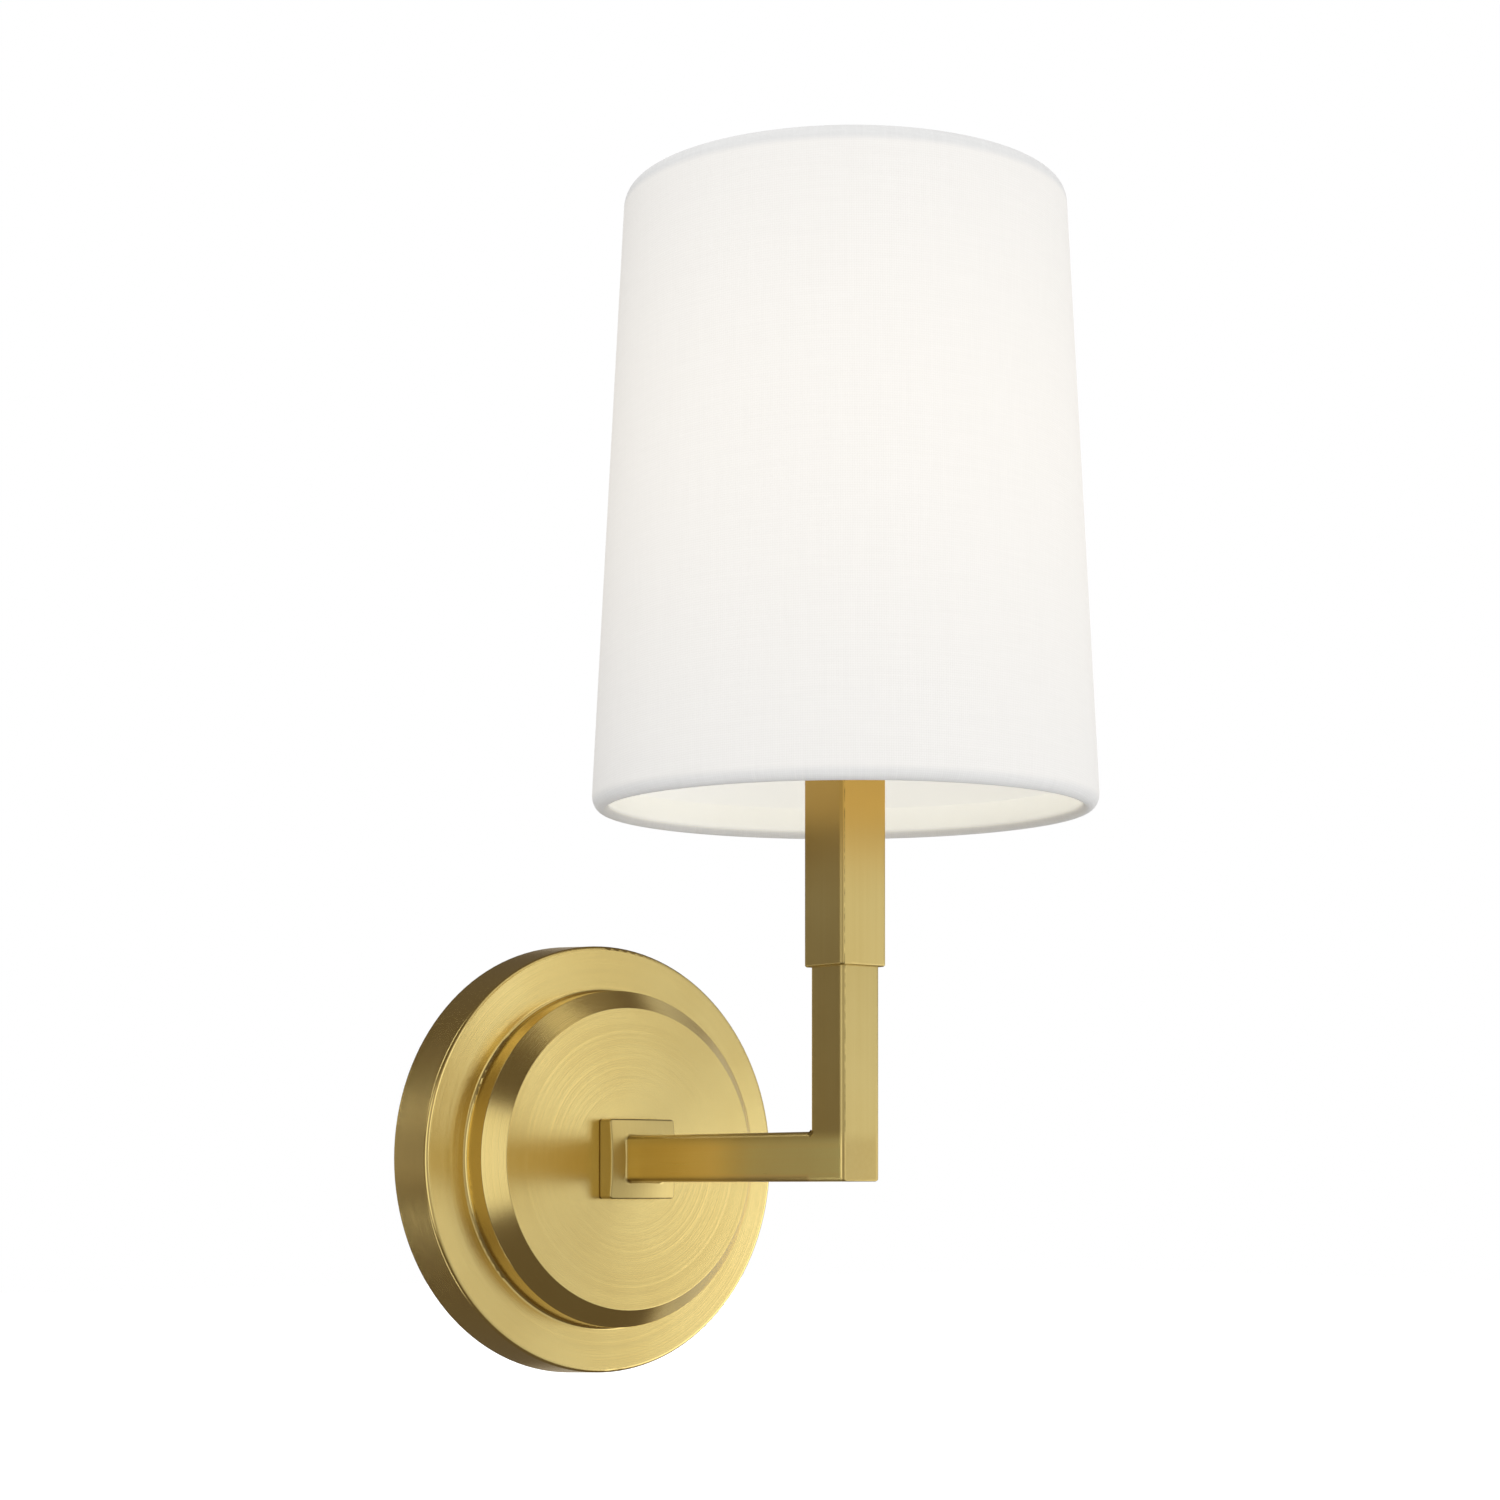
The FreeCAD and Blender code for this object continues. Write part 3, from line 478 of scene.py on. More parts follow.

# %% [markdown]
# ## Linen
# The shade's cover is plain woven linen glued to a plastic liner. Up close it is a grid of
# threads 0.6 mm apart, each going over one and under the next, with thick places called slubs.
# The threads follow the flat pattern that the cloth was cut from, not the cone, so the finish
# reads the piece's own UV map, which holds that flat pattern in metres.
# A lit lamp would shine through the cloth from behind, so the finish has a weak glow of its own,
# warm in the middle of the shade and gone at the rims, where the cloth is doubled over a hoop.
# There the cloth is painted greyer, as painted shade, a little less so at the foot, and the cloth
# turned in inside the rims is painted paler and glows more, as painted lamp light.

# %% Finish the linen
THREAD = 0.60 * MM
LINEN = (0.848, 0.842, 0.832, 1)
LINEN_GAP = (0.81, 0.803, 0.79, 1)
LINEN_HEM_SHADE = (0.775, 0.773, 0.767, 1)
LINEN_INSIDE_LIT = (0.89, 0.89, 0.86, 1)
GLOW_MIDDLE = (0.433, 0.355, 0.238, 1)
GLOW_INSIDE = (0.85, 0.82, 0.73, 1)
GLOW_EDGE = (0.0, 0.0, 0.0, 1)
GLOW_AT, GLOW_SPREAD = 0.190, 0.075     # height of its middle, and how far it reaches
GLOW_LEAST = 0.25
WOBBLE_SCALE = 60.0
WOBBLE = 0.5            # of a thread
THREAD_DIP = 0.4        # how far a thread sinks where it goes under
SLUB_SCALE = 55.0       # noise cells in a metre, along a thread
SLUB_APART = 3.7
RIM_MARGIN, RIM_SOFT = 1.5 * MM, 0.8 * MM
HEM_LOW, HEM_HIGH, HEM_SOFT = 2.4 * MM, 3.6 * MM, 1.1 * MM
HEM_GREY, FOOT_HEM_PALER = 0.9, 0.75


def weave(finish, u, v):
    """Height of a plain weave, 0 in the gaps and 1 on the crowns, and how thick its slubs are."""
    wobble = finish.vector(u * WOBBLE_SCALE, v * WOBBLE_SCALE, 0.0)
    across = u * (1 / THREAD) + WOBBLE * finish.noise(wobble)
    along = v * (1 / THREAD) + WOBBLE * finish.noise(wobble, 1.3)
    warp, weft = (abs(finish.calculate("SINE", way * math.pi)) for way in (across, along))
    warp_number, weft_number = (finish.calculate("FLOOR", way) for way in (across, along))
    warp_over = (warp_number + weft_number) % 2.0
    warp_top = warp * (1 - THREAD_DIP + THREAD_DIP * weft)
    weft_top = weft * (1 - THREAD_DIP + THREAD_DIP * warp)
    height = warp_over * warp_top + (1 - warp_over) * weft_top
    warp_place = finish.vector(warp_number * SLUB_APART, v * SLUB_SCALE, 0.0)
    weft_place = finish.vector(weft_number * SLUB_APART, u * SLUB_SCALE, 9.0)
    return height, finish.noise(warp_place) + finish.noise(weft_place) - 1.0


def linen_finish():
    """Woven cloth, painted greyer at the hems as shade and paler inside the rims as lamp light,
    with a weak warm glow of its own.
    """
    material, finish = new_finish("linen")
    u, v, _ = finish.parts(finish.node("ShaderNodeUVMap", {"uv_map": "cut"}))
    height, slub = weave(finish, u, v)
    where = finish.place()
    z = where[2]
    inward = cone_r(z) - radius_from(0, 1, RISER_Y)(finish, where)
    between_rims = finish.window(z, SHADE_FOOT + RIM_MARGIN, SHADE_HEAD - RIM_MARGIN, RIM_SOFT)
    inside = finish.step(inward, 0.9 * MM, 1.3 * MM) * between_rims
    hems = 1 - finish.window(z, SHADE_FOOT + HEM_LOW, SHADE_HEAD - HEM_HIGH, HEM_SOFT)
    hems = finish.larger(hems, inside)
    cloth = finish.mix(finish.step(height, 0.05, 0.75), LINEN_GAP, LINEN)
    # The hems' painted shade is lighter near the foot.
    above_foot = finish.step(z, SHADE_FOOT + 8.0 * MM, SHADE_FOOT + 12.0 * MM)
    shaded = HEM_GREY - FOOT_HEM_PALER * (1 - above_foot)
    cloth = finish.mix(hems * shaded, cloth, LINEN_HEM_SHADE)
    cloth = finish.mix(inside, cloth, LINEN_INSIDE_LIT)
    cloth = finish.tint(cloth, 1.0 + (0.035 + 0.05 * hems) * slub)
    from_middle = (z - GLOW_AT) * (1 / GLOW_SPREAD)
    glow = finish.calculate("EXPONENT", -(from_middle * from_middle))
    glow = (GLOW_LEAST + (1 - GLOW_LEAST) * glow) * (1 - hems) * (1.0 - 0.10 * height)
    shine = finish.mix(glow, GLOW_EDGE, GLOW_MIDDLE)
    shine = finish.mix(inside, shine, GLOW_INSIDE)
    normal = finish.bump(height + 0.5 * slub, 0.05 * MM, 0.30)
    finish.output(finish.principled(
        base_color=cloth, roughness=0.93, sheen_weight=0.08, sheen_roughness=0.5,
        specular_ior_level=0.2, emission_color=shine, emission_strength=0.30, normal=normal))
    return material


linen = linen_finish()
print("linen thread pitch", THREAD / MM, "mm")

# %% [markdown]
# The liner is a sheet of cream styrene inside the linen. It is smooth and faintly pebbled. A
# lit lamp would brighten it all over, so it has an even, weak glow of its own.

# %% Finish the liner
LINER_COLOUR = (0.80, 0.796, 0.775)
LINER_GLOW = (1.0, 0.985, 0.93, 1)
PEBBLE_SCALE = 1500.0


def liner_finish():
    """Cream plastic that glows evenly."""
    material, finish = new_finish("liner")
    pebble = finish.noise(finish.spot(), PEBBLE_SCALE)
    cloud = finish.noise(finish.spot(), 18.0)
    colour = finish.tint(LINER_COLOUR, 0.97 + 0.06 * cloud)
    finish.output(finish.principled(
        base_color=colour, roughness=0.55 + 0.1 * cloud, specular_ior_level=0.3,
        emission_color=LINER_GLOW, emission_strength=0.31,
        normal=finish.bump(pebble, 0.02 * MM, 0.4)))
    return material


liner = liner_finish()
print("liner finish ready")

# %% [markdown]
# ## Hidden hardware
# Behind the canopy are a zinc plated strap, screws, nuts and wires, and inside the shade are a
# powder coated carrier, a moulded lamp holder and the lamp. Each could take one flat colour,
# but these parts show from the back, from above and from below, so each gets its own grain:
# drawn steel, orange peel in the coating, flow marks in moulded parts.

# %% A maker of plain finishes
SPECKLE_GLOSS = 0.12


def speckled(name, dark, light, roughness, metallic, scale, depth=0.02 * MM, squeeze=(1, 1, 1),
             **more):
    """Two close colours mixed by cloudy noise, with the same noise in the gloss and the bump."""
    material, finish = new_finish(name)
    stretched = (axis * factor for axis, factor in zip(finish.place(), squeeze))
    fine = finish.noise(finish.vector(*stretched), scale, 3.0)
    cloud = finish.noise(finish.spot(), 60.0, 3.0)
    patch = finish.step(0.5 * fine + 0.5 * cloud, 0.38, 0.62)
    finish.output(finish.principled(
        base_color=finish.mix(patch, (*dark, 1), (*light, 1)), metallic=metallic,
        roughness=roughness + SPECKLE_GLOSS * (fine + cloud - 1.0),
        normal=finish.bump(fine, depth, 0.7), **more))
    return material


PLAIN_FINISHES = {
    # slot: name, dark colour, light colour, roughness, metallic, grains in a metre, and more
    "zinc_steel": ("zinc", (0.50, 0.51, 0.50), (0.66, 0.66, 0.63), 0.34, 1.0, 700.0,
                   {"depth": 0.008 * MM, "squeeze": (1, 1, 0.08)}),
    "dark_steel": ("blackened_steel", (0.05, 0.045, 0.04), (0.10, 0.09, 0.08), 0.42, 0.8, 900.0),
    "green_steel": ("green_zinc", (0.03, 0.22, 0.07), (0.05, 0.33, 0.11), 0.36, 0.6, 700.0),
    "tinned_copper": ("tinned_copper", (0.58, 0.55, 0.48), (0.72, 0.70, 0.64), 0.30, 1.0, 600.0),
    "white_steel": ("white_powder_coat", (0.72, 0.72, 0.69), (0.79, 0.79, 0.77), 0.42, 0.0, 1400.0,
                    {"depth": 0.03 * MM, "coat_weight": 0.15, "coat_roughness": 0.3}),
    "white_plastic": ("white_nylon", (0.70, 0.70, 0.66), (0.76, 0.76, 0.73), 0.48, 0.0, 800.0),
    "black_phenolic": ("black_phenolic", (0.014, 0.014, 0.015), (0.028, 0.027, 0.027), 0.38, 0.0,
                       900.0, {"depth": 0.015 * MM}),
    "orange_plastic": ("orange_plastic", (0.62, 0.16, 0.02), (0.74, 0.22, 0.035), 0.40, 0.0,
                       700.0),
    "white_ceramic": ("porcelain", (0.74, 0.72, 0.66), (0.80, 0.78, 0.73), 0.22, 0.0, 500.0,
                      {"coat_weight": 0.6, "coat_roughness": 0.08}),
    "black_insulation": ("black_wire", (0.016, 0.016, 0.016), (0.030, 0.030, 0.030), 0.50, 0.0,
                         900.0),
    "white_insulation": ("white_wire", (0.66, 0.66, 0.62), (0.74, 0.74, 0.71), 0.50, 0.0, 900.0),
    "green_insulation": ("green_wire", (0.02, 0.20, 0.06), (0.04, 0.28, 0.09), 0.50, 0.0, 900.0),
    "solder": ("solder", (0.50, 0.50, 0.49), (0.68, 0.68, 0.66), 0.30, 1.0, 500.0),
    "black_glass": ("black_glass", (0.012, 0.012, 0.016), (0.022, 0.020, 0.026), 0.12, 0.0, 500.0),
    "nickel": ("nickel", (0.60, 0.57, 0.52), (0.74, 0.72, 0.67), 0.24, 1.0, 700.0,
               {"depth": 0.006 * MM}),
    "raw_brass": ("raw_brass", (0.66, 0.49, 0.19), (0.80, 0.62, 0.27), 0.34, 1.0, 800.0,
                  {"depth": 0.008 * MM, "squeeze": (1, 1, 0.1)}),
    "filament_yellow": ("phosphor", (0.82, 0.50, 0.08), (0.92, 0.66, 0.16), 0.60, 0.0, 1600.0,
                        {"depth": 0.06 * MM}),
}
finishes = {}
for slot_name, row in PLAIN_FINISHES.items():
    numbers, more = row[:6], row[6] if len(row) > 6 else {}
    finishes[slot_name] = speckled(*numbers, **more)
print(len(finishes), "plain finishes:", ", ".join(sorted(finishes)))

# %% [markdown]
# The lamp's envelope is thin clear glass. Real refraction would need many bounces to show
# little more, so the glass is mostly see-through and only its gloss shows. Towards the edges,
# where one looks along the wall, it is painted greyer, a painted dark reflection, and less
# clear, so it stands out from white.

# %% Finish the glass
GLASS = (0.86, 0.89, 0.88, 1)
GLASS_PALE = (0.93, 0.95, 0.94, 1)
GLASS_DARK_REFLECTION = (0.42, 0.47, 0.46, 1)
GLASS_LEAST, GLASS_MORE = 0.07, 0.45    # how solid it looks, and how much more at the edges


def clear_glass_finish():
    """Nearly clear and very smooth, with edges painted grey as a dark reflection."""
    material, finish = new_finish("clear_glass")
    edge = finish.node("ShaderNodeLayerWeight", {}, {"Blend": 0.35}, 1)
    ripple = finish.noise(finish.spot(), 90.0)
    colour = finish.mix(edge * edge, finish.mix(ripple, GLASS, GLASS_PALE), GLASS_DARK_REFLECTION)
    finish.output(finish.principled(
        base_color=colour, roughness=0.04, alpha=GLASS_LEAST + GLASS_MORE * edge * edge,
        normal=finish.bump(ripple, 0.02 * MM, 0.3)))
    return material


finishes["clear_glass"] = clear_glass_finish()
print("glass finish ready")

# %% [markdown]
# ## Dressing the CAD nodes
# A CAD node whose shape is right keeps its mesh and only gets a better finish in its material
# slot. The record says which slot each node has, so one loop dresses them all. The brass
# pieces differ in their grain, so they are named one by one first.

# %% Dress the nodes
brass_of = {"canopy": canopy_brass, "boss": boss_brass, "sleeve": sleeve_brass,
            "holder_cup": cup_brass, "arm_tube": arm_brass, "riser_tube": arm_brass}
slot_of = {part["node"]: part["material_slot"] for part in frame["record"]["subparts"]}
for node_name, node_object in frame["nodes"].items():
    chosen = brass_of.get(node_name) or finishes.get(slot_of[node_name])
    if chosen is None:
        chosen = liner if slot_of[node_name] == "cream_liner" else linen
    for material_slot in node_object.material_slots:
        material_slot.material = chosen
print("dressed", len(frame["nodes"]), "nodes")

# %% [markdown]
# ## Tools for modelling
# New pieces are made as one would by hand: add a primitive, go into edit mode, pick some
# faces or edges, and extrude, inset, bevel or spin them. By hand one clicks on what to pick,
# and here a small test of place or direction picks it. Everything is deselected before a new
# piece is added, because operators act on all that is selected.

# %% Modelling helpers
SAME_PLACE = 0.01 * MM      # two places closer than this are the same place
SAME_POINT = 0.002 * MM     # and so are two points of a fine mesh


def nothing_selected():
    """Leaves edit mode and lets go of every object."""
    if bpy.context.object and bpy.context.object.mode != "OBJECT":
        bpy.ops.object.mode_set(mode="OBJECT")
    bpy.ops.object.select_all(action="DESELECT")


def begin(name):
    """Names the primitive just added, puts its place into its mesh and opens it for editing."""
    piece = bpy.context.object
    piece.name = name
    piece.data.name = name
    bpy.ops.object.transform_apply(location=True, rotation=True, scale=True)
    bpy.ops.object.mode_set(mode="EDIT")
    return piece


def pick(piece, kind, test):
    """Selects the edges or faces whose middle and direction pass a test, and counts them."""
    bpy.ops.mesh.select_mode(type=kind)
    bpy.ops.mesh.select_all(action="DESELECT")
    bpy.ops.object.mode_set(mode="OBJECT")
    mesh = piece.data
    count = 0
    for element in mesh.edges if kind == "EDGE" else mesh.polygons:
        if kind == "EDGE":
            one, other = (mesh.vertices[index].co for index in element.vertices)
            middle, direction = (one + other) / 2, (other - one).normalized()
        else:
            middle, direction = element.center, element.normal
        element.select = test(middle, direction)
        count += element.select
    bpy.ops.object.mode_set(mode="EDIT")
    return count


def choose(*pieces):
    """Selects only these pieces, in object mode; the last one is the active one."""
    nothing_selected()
    for piece in pieces:
        piece.select_set(True)
        bpy.context.view_layer.objects.active = piece


def apply_modifier(piece, kind, **settings):
    """Adds a modifier, sets it up and applies it."""
    choose(piece)
    bpy.ops.object.modifier_add(type=kind)
    modifier = piece.modifiers[-1]
    for key, value in settings.items():
        setattr(modifier, key, value)
    bpy.ops.object.modifier_apply(modifier=modifier.name)


def smooth(piece, degrees):
    """Smooth shading, with edges sharper than an angle kept crisp."""
    choose(piece)
    bpy.ops.object.shade_smooth_by_angle(angle=math.radians(degrees))


def wear(piece, material, body, slot, *nodes):
    """Gives a finished piece its material, the body it rides on and the nodes it replaces."""
    piece.data.materials.clear()
    piece.data.materials.append(material)
    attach(piece, body)
    if nodes:
        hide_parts(*nodes)
    print(piece.name, len(piece.data.polygons), "faces")


def extrude(move):
    """Pulls what is selected out by a distance, with new faces or edges behind it."""
    bpy.ops.mesh.extrude_region_move(TRANSFORM_OT_translate={"value": move})


def merge_points(threshold=SAME_POINT):
    """Merges the points of the open mesh that lie in the same place, and selects them all."""
    bpy.ops.mesh.select_all(action="SELECT")
    bpy.ops.mesh.remove_doubles(threshold=threshold)
    bpy.ops.mesh.select_all(action="SELECT")


def spun(name, outline, steps, sweep=2 * math.pi, start=-math.pi / 2):
    """An outline of (radius, height) points, drawn as a line and spun round the riser's axis."""
    nothing_selected()
    direction = Vector((math.cos(start), math.sin(start), 0))
    axis_foot = Vector((0, RISER_Y, 0))

    def at(point):
        return axis_foot + direction * point[0] + Vector((0, 0, point[1]))

    bpy.ops.mesh.primitive_plane_add(size=MM, location=at(outline[0]))
    piece = begin(name)
    bpy.ops.mesh.select_mode(type="VERT")
    bpy.ops.mesh.select_all(action="SELECT")
    bpy.ops.mesh.merge(type="CENTER")
    for before, after in zip(outline, outline[1:]):
        extrude(at(after) - at(before))
    bpy.ops.mesh.select_all(action="SELECT")
    bpy.ops.mesh.spin(steps=steps, angle=sweep, center=axis_foot, axis=(0, 0, 1))
    return piece


def close_up():
    """Merges doubled points, turns the faces outwards and leaves edit mode."""
    merge_points()
    bpy.ops.mesh.normals_make_consistent(inside=False)
    bpy.ops.object.mode_set(mode="OBJECT")


print("modelling helpers ready")

# %% [markdown]
# ## The arm and riser
# The real arm is square tube, mitred and welded at the elbow and ground smooth, so no joint
# shows. The CAD has two tubes. One could keep both and hide the seam, but one continuous tube
# is truer. A cube at the elbow is extruded back to the wall and up into the sleeve, its edges
# are bevelled by weight, and Solidify gives it a wall.

# %% Model the arm
TUBE_CORNER = 1.4 * MM
ELBOW_EDGE = 0.5 * MM
TUBE_WALL = 1.2 * MM


def make_arm():
    """One square tube from the wall to the sleeve, through a mitred elbow."""
    half = TUBE_SIDE / 2
    nothing_selected()
    bpy.ops.mesh.primitive_cube_add(size=TUBE_SIDE, location=(0, RISER_Y, 0))
    piece = begin("arm")
    front, back = RISER_Y - half, RISER_Y + half
    pick(piece, "FACE", lambda at, facing: facing.y > 0.9)
    extrude((0, ARM_WALL_END - back, 0))
    pick(piece, "FACE", lambda at, facing: facing.z > 0.9 and at.y < back)
    extrude((0, 0, RISER_TOP - half))
    merge_points(SAME_PLACE)

    def at_an_end(at):
        return at.y > ARM_WALL_END - 0.1 * MM or at.z > RISER_TOP - 0.1 * MM

    pick(piece, "FACE", lambda at, facing: at_an_end(at))
    bpy.ops.mesh.delete(type="FACE")

    def long_edge(at, along):
        runs = abs(along.x) < 0.1
        outside = abs(at.x) > half * 0.99
        inner_joint = abs(at.y - back) < SAME_PLACE and at.z < half and abs(along.z) > 0.9
        lower_joint = abs(at.z - half) < SAME_PLACE and at.y < back and abs(along.y) > 0.9
        return runs and outside and not (inner_joint or lower_joint or at_an_end(at))

    def elbow_edge(at, along):
        outer = abs(at.z + half) < SAME_PLACE and abs(at.y - front) < SAME_PLACE
        inner = abs(at.z - half) < SAME_PLACE and abs(at.y - back) < SAME_PLACE
        return abs(along.x) > 0.9 and (outer or inner)

    long_count = pick(piece, "EDGE", long_edge)
    bpy.ops.transform.edge_bevelweight(value=1.0)
    elbow_count = pick(piece, "EDGE", elbow_edge)
    bpy.ops.transform.edge_bevelweight(value=ELBOW_EDGE / TUBE_CORNER)
    print("arm edges:", long_count, "long,", elbow_count, "at the elbow")
    apply_modifier(piece, "BEVEL", width=TUBE_CORNER, segments=5, limit_method="WEIGHT")
    apply_modifier(piece, "SOLIDIFY", thickness=TUBE_WALL, offset=-1.0)
    smooth(piece, 40)
    apply_modifier(piece, "WEIGHTED_NORMAL", keep_sharp=True)
    return piece


arm = make_arm()
wear(arm, arm_brass, "fixture", "satin_brass", "arm_tube", "riser_tube")

# %% [markdown]
# A small ring of braze fills the corner between the boss and the arm. It catches a thin line
# of light on its hollow face. It starts as a square plate with rounded corners, extruded and
# scaled ring by ring into a hollow curve.

# %% Model the braze
BRAZE_START = -BOSS_FACE_Y - 0.60 * MM
BRAZE_FOOT = 0.80 * MM
BRAZE_CORNER = 2.0 * MM
BRAZE_RINGS = [
    # out from the tube and along it from the start, in millimetres
    (0.80, 0.30), (0.42, 0.42), (0.16, 0.68), (0.02, 1.10), (-0.5, 1.10), (-0.5, 0.0)]


def make_braze():
    """A hollow curved ring in the corner between the boss and the arm."""
    half = TUBE_SIDE / 2
    nothing_selected()
    bpy.ops.mesh.primitive_plane_add(size=2 * (half + BRAZE_FOOT), location=(0, -BRAZE_START, 0),
                                     rotation=(math.radians(90), 0, 0))
    piece = begin("braze")
    bpy.ops.mesh.select_all(action="SELECT")
    bpy.ops.mesh.bevel(offset=BRAZE_CORNER, segments=6, affect="VERTICES")

    def pick_plate(depth):
        pick(piece, "FACE", lambda at, facing: abs(at.y + depth) < SAME_POINT / 2
             and at.xz.length < 0.1 * MM)

    width, depth = half + BRAZE_FOOT, BRAZE_START
    for out, along in BRAZE_RINGS:
        new_width, new_depth = half + out * MM, BRAZE_START + along * MM
        pick_plate(depth)
        extrude((0, depth - new_depth, 0))
        factor = new_width / width
        bpy.ops.transform.resize(value=(factor, 1, factor), center_override=(0, -new_depth, 0))
        width, depth = new_width, new_depth
    pick_plate(BRAZE_START)
    bpy.ops.mesh.delete(type="FACE")
    bpy.ops.mesh.select_all(action="SELECT")
    bpy.ops.mesh.region_to_loop()
    bpy.ops.mesh.bridge_edge_loops()
    close_up()
    smooth(piece, 50)
    return piece


braze = make_braze()
braze_brass = brass("braze_brass", lengthwise("y"), roughness=0.36, tone=TUBE_TONE)
wear(braze, braze_brass, "fixture", "satin_brass")

# %% [markdown]
# ## The linen cover
# The cover is one strip of cloth cut as a bow, glued to the liner, lapped at the back and
# rolled round a steel hoop at each rim. It is drawn here as one line: down the inside of the
# top rim, over the hoop, down the cone, round the bottom hoop and a little way up inside. The
# line is spun a little more than once round, and the last few columns are lifted so the end
# laps over the start, on the side that faces the wall. Solidify then gives the cloth its
# thickness. A cone and two rings would be simpler, but the rims would look stuck on.

# %% Model the cover
CLOTH = 0.5 * MM
COVER_STEPS = 180
LAP_STEPS = 4
LAP_AT = math.radians(52.6)
LAP_GAP = 0.15 * MM
COVER_FOOT = SHADE_FOOT - 0.35 * MM
COVER_HEAD = SHADE_HEAD + 0.25 * MM
COVER_RUNGS = 16
SHOULDER_WIDE = 2.8 * MM
SHOULDER_DROP = 4.0 * MM
ROLL_WIDE = 1.6 * MM
ROLL_DROP = 2.8 * MM
TURN_IN = 9.0 * MM      # how far the cloth goes back inside the rim
TAIL_IN = 1.5 * MM      # how far inside the cone its end lies


def evenly(start, end, rungs):
    """Numbers from start to end, in equal steps."""
    return [start + (end - start) * rung / rungs for rung in range(rungs + 1)]


def rim_roll(edge_z, up):
    """Points from the cone over the edge and round the hoop; up is 1 above and -1 below."""
    r = cone_r(edge_z - up * SHOULDER_DROP)
    points = []
    for turns, wide, drop in ((range(0, 91, 10), SHOULDER_WIDE, SHOULDER_DROP),
                              (range(110, 191, 20), ROLL_WIDE, ROLL_DROP)):
        for angle in map(math.radians, turns):
            points.append((r - SHOULDER_WIDE + wide * math.cos(angle),
                           edge_z - up * drop * (1 - math.sin(angle))))
    return points + [(r - TAIL_IN, edge_z - up * TURN_IN)]


def cover_outline():
    """The cloth's outer face, from its end inside the top rim to its end inside the foot."""
    wall = evenly(COVER_HEAD - SHOULDER_DROP, COVER_FOOT + SHOULDER_DROP, COVER_RUNGS)[1:-1]
    return (list(reversed(rim_roll(COVER_HEAD, 1))) + [(cone_r(z), z) for z in wall]
            + rim_roll(COVER_FOOT, -1))


def lay_flat(piece, outline):
    """Writes the cloth's flat pattern, in metres, into a UV map."""
    slant = [0.0]
    for (r0, z0), (r1, z1) in zip(outline, outline[1:]):
        slant.append(slant[-1] + math.hypot(r1 - r0, z1 - z0))
    lean = math.atan(CONE_SLOPE)
    apex = HEAD_R / math.sin(lean)
    mesh = piece.data
    count = len(outline)
    flat = mesh.uv_layers.new(name="cut")
    for loop in mesh.loops:
        at = mesh.vertices[loop.vertex_index].co
        r = math.hypot(at.x, at.y - RISER_Y)
        row = min(range(count), key=lambda i: abs(outline[i][0] - r) + abs(outline[i][1] - at.z))
        turn = 2 * math.pi * (loop.vertex_index // count) / COVER_STEPS - math.pi
        reach, fan = apex + slant[row], turn * math.sin(lean)
        flat.data[loop.index].uv = (reach * math.sin(fan), apex - reach * math.cos(fan))


def lift_end(piece, rows, rise):
    """Moves the last columns out along their normals, so the strip's end laps over its start."""
    last = (COVER_STEPS + 1) * rows
    bpy.ops.object.mode_set(mode="EDIT")
    bpy.ops.mesh.select_mode(type="VERT")
    bpy.ops.mesh.select_all(action="SELECT")
    bpy.ops.mesh.normals_make_consistent(inside=False)
    bpy.ops.mesh.select_all(action="DESELECT")
    bpy.ops.object.mode_set(mode="OBJECT")
    outward = sum(face.normal.dot(face.center - Vector((0, RISER_Y, face.center.z)))
                  for face in piece.data.polygons)
    if outward < 0:
        piece.data.flip_normals()
    for vertex in piece.data.vertices:
        vertex.select = vertex.index >= last
    bpy.ops.object.mode_set(mode="EDIT")
    bpy.ops.transform.shrink_fatten(value=rise)
    bpy.ops.object.mode_set(mode="OBJECT")


def lapped_strip(name, outline, rise, thickness, crease, with_pattern=False):
    """A strip spun a little more than once round, with its end lifted over or under its start."""
    steps = COVER_STEPS + LAP_STEPS
    piece = spun(name, outline, steps, 2 * math.pi * steps / COVER_STEPS, LAP_AT)
    bpy.ops.object.mode_set(mode="OBJECT")
    if with_pattern:
        lay_flat(piece, outline)
    lift_end(piece, len(outline), rise)
    apply_modifier(piece, "SOLIDIFY", thickness=thickness, offset=-1.0)
    smooth(piece, crease)
    return piece


cover = lapped_strip("linen_cover", cover_outline(), CLOTH + LAP_GAP, CLOTH, crease=50,
                     with_pattern=True)
wear(cover, linen, "shade", "white_linen", "shade_fabric", "bottom_hem", "top_hem")

# %% [markdown]
# The liner is made the same way, as one strip of thin plastic with its end lapped on the wall
# side. It stops short of the rims, where the rolled cloth hides its edges. The cover is kept
# out of reflections, so the brass mirrors the studio and not the lit cloth. The liner stays
# in them, because its warm reflection colours the top of the sleeve.

# %% Model the liner
LINER_GAP = 0.55 * MM
LINER_THICK = 0.42 * MM
LINER_LOW, LINER_HIGH = SHADE_FOOT + 3.6 * MM, SHADE_HEAD - 3.9 * MM
LINER_RUNGS = 12
liner_line = [(cone_r(z) - LINER_GAP, z) for z in evenly(LINER_HIGH, LINER_LOW, LINER_RUNGS)]
liner_piece = lapped_strip("liner", liner_line, -LINER_GAP, LINER_THICK, crease=40)
wear(liner_piece, liner, "shade", "cream_liner", "shade_liner")
cover.visible_glossy = False

# %% [markdown]
# ## Threads
# The clamp ring screws down the lamp holder's skirt, and the lamp screws into the holder. The
# CAD makes these threads smooth, which is right for motion but looks unfinished once the shade
# is lifted off. A thread could be cut out of the solid, but a ridge wound round a slightly
# thinner tube gives the same shape with fewer faces. The ridge is a small circle swept up a
# helix by the Screw modifier, with its two ends filled.

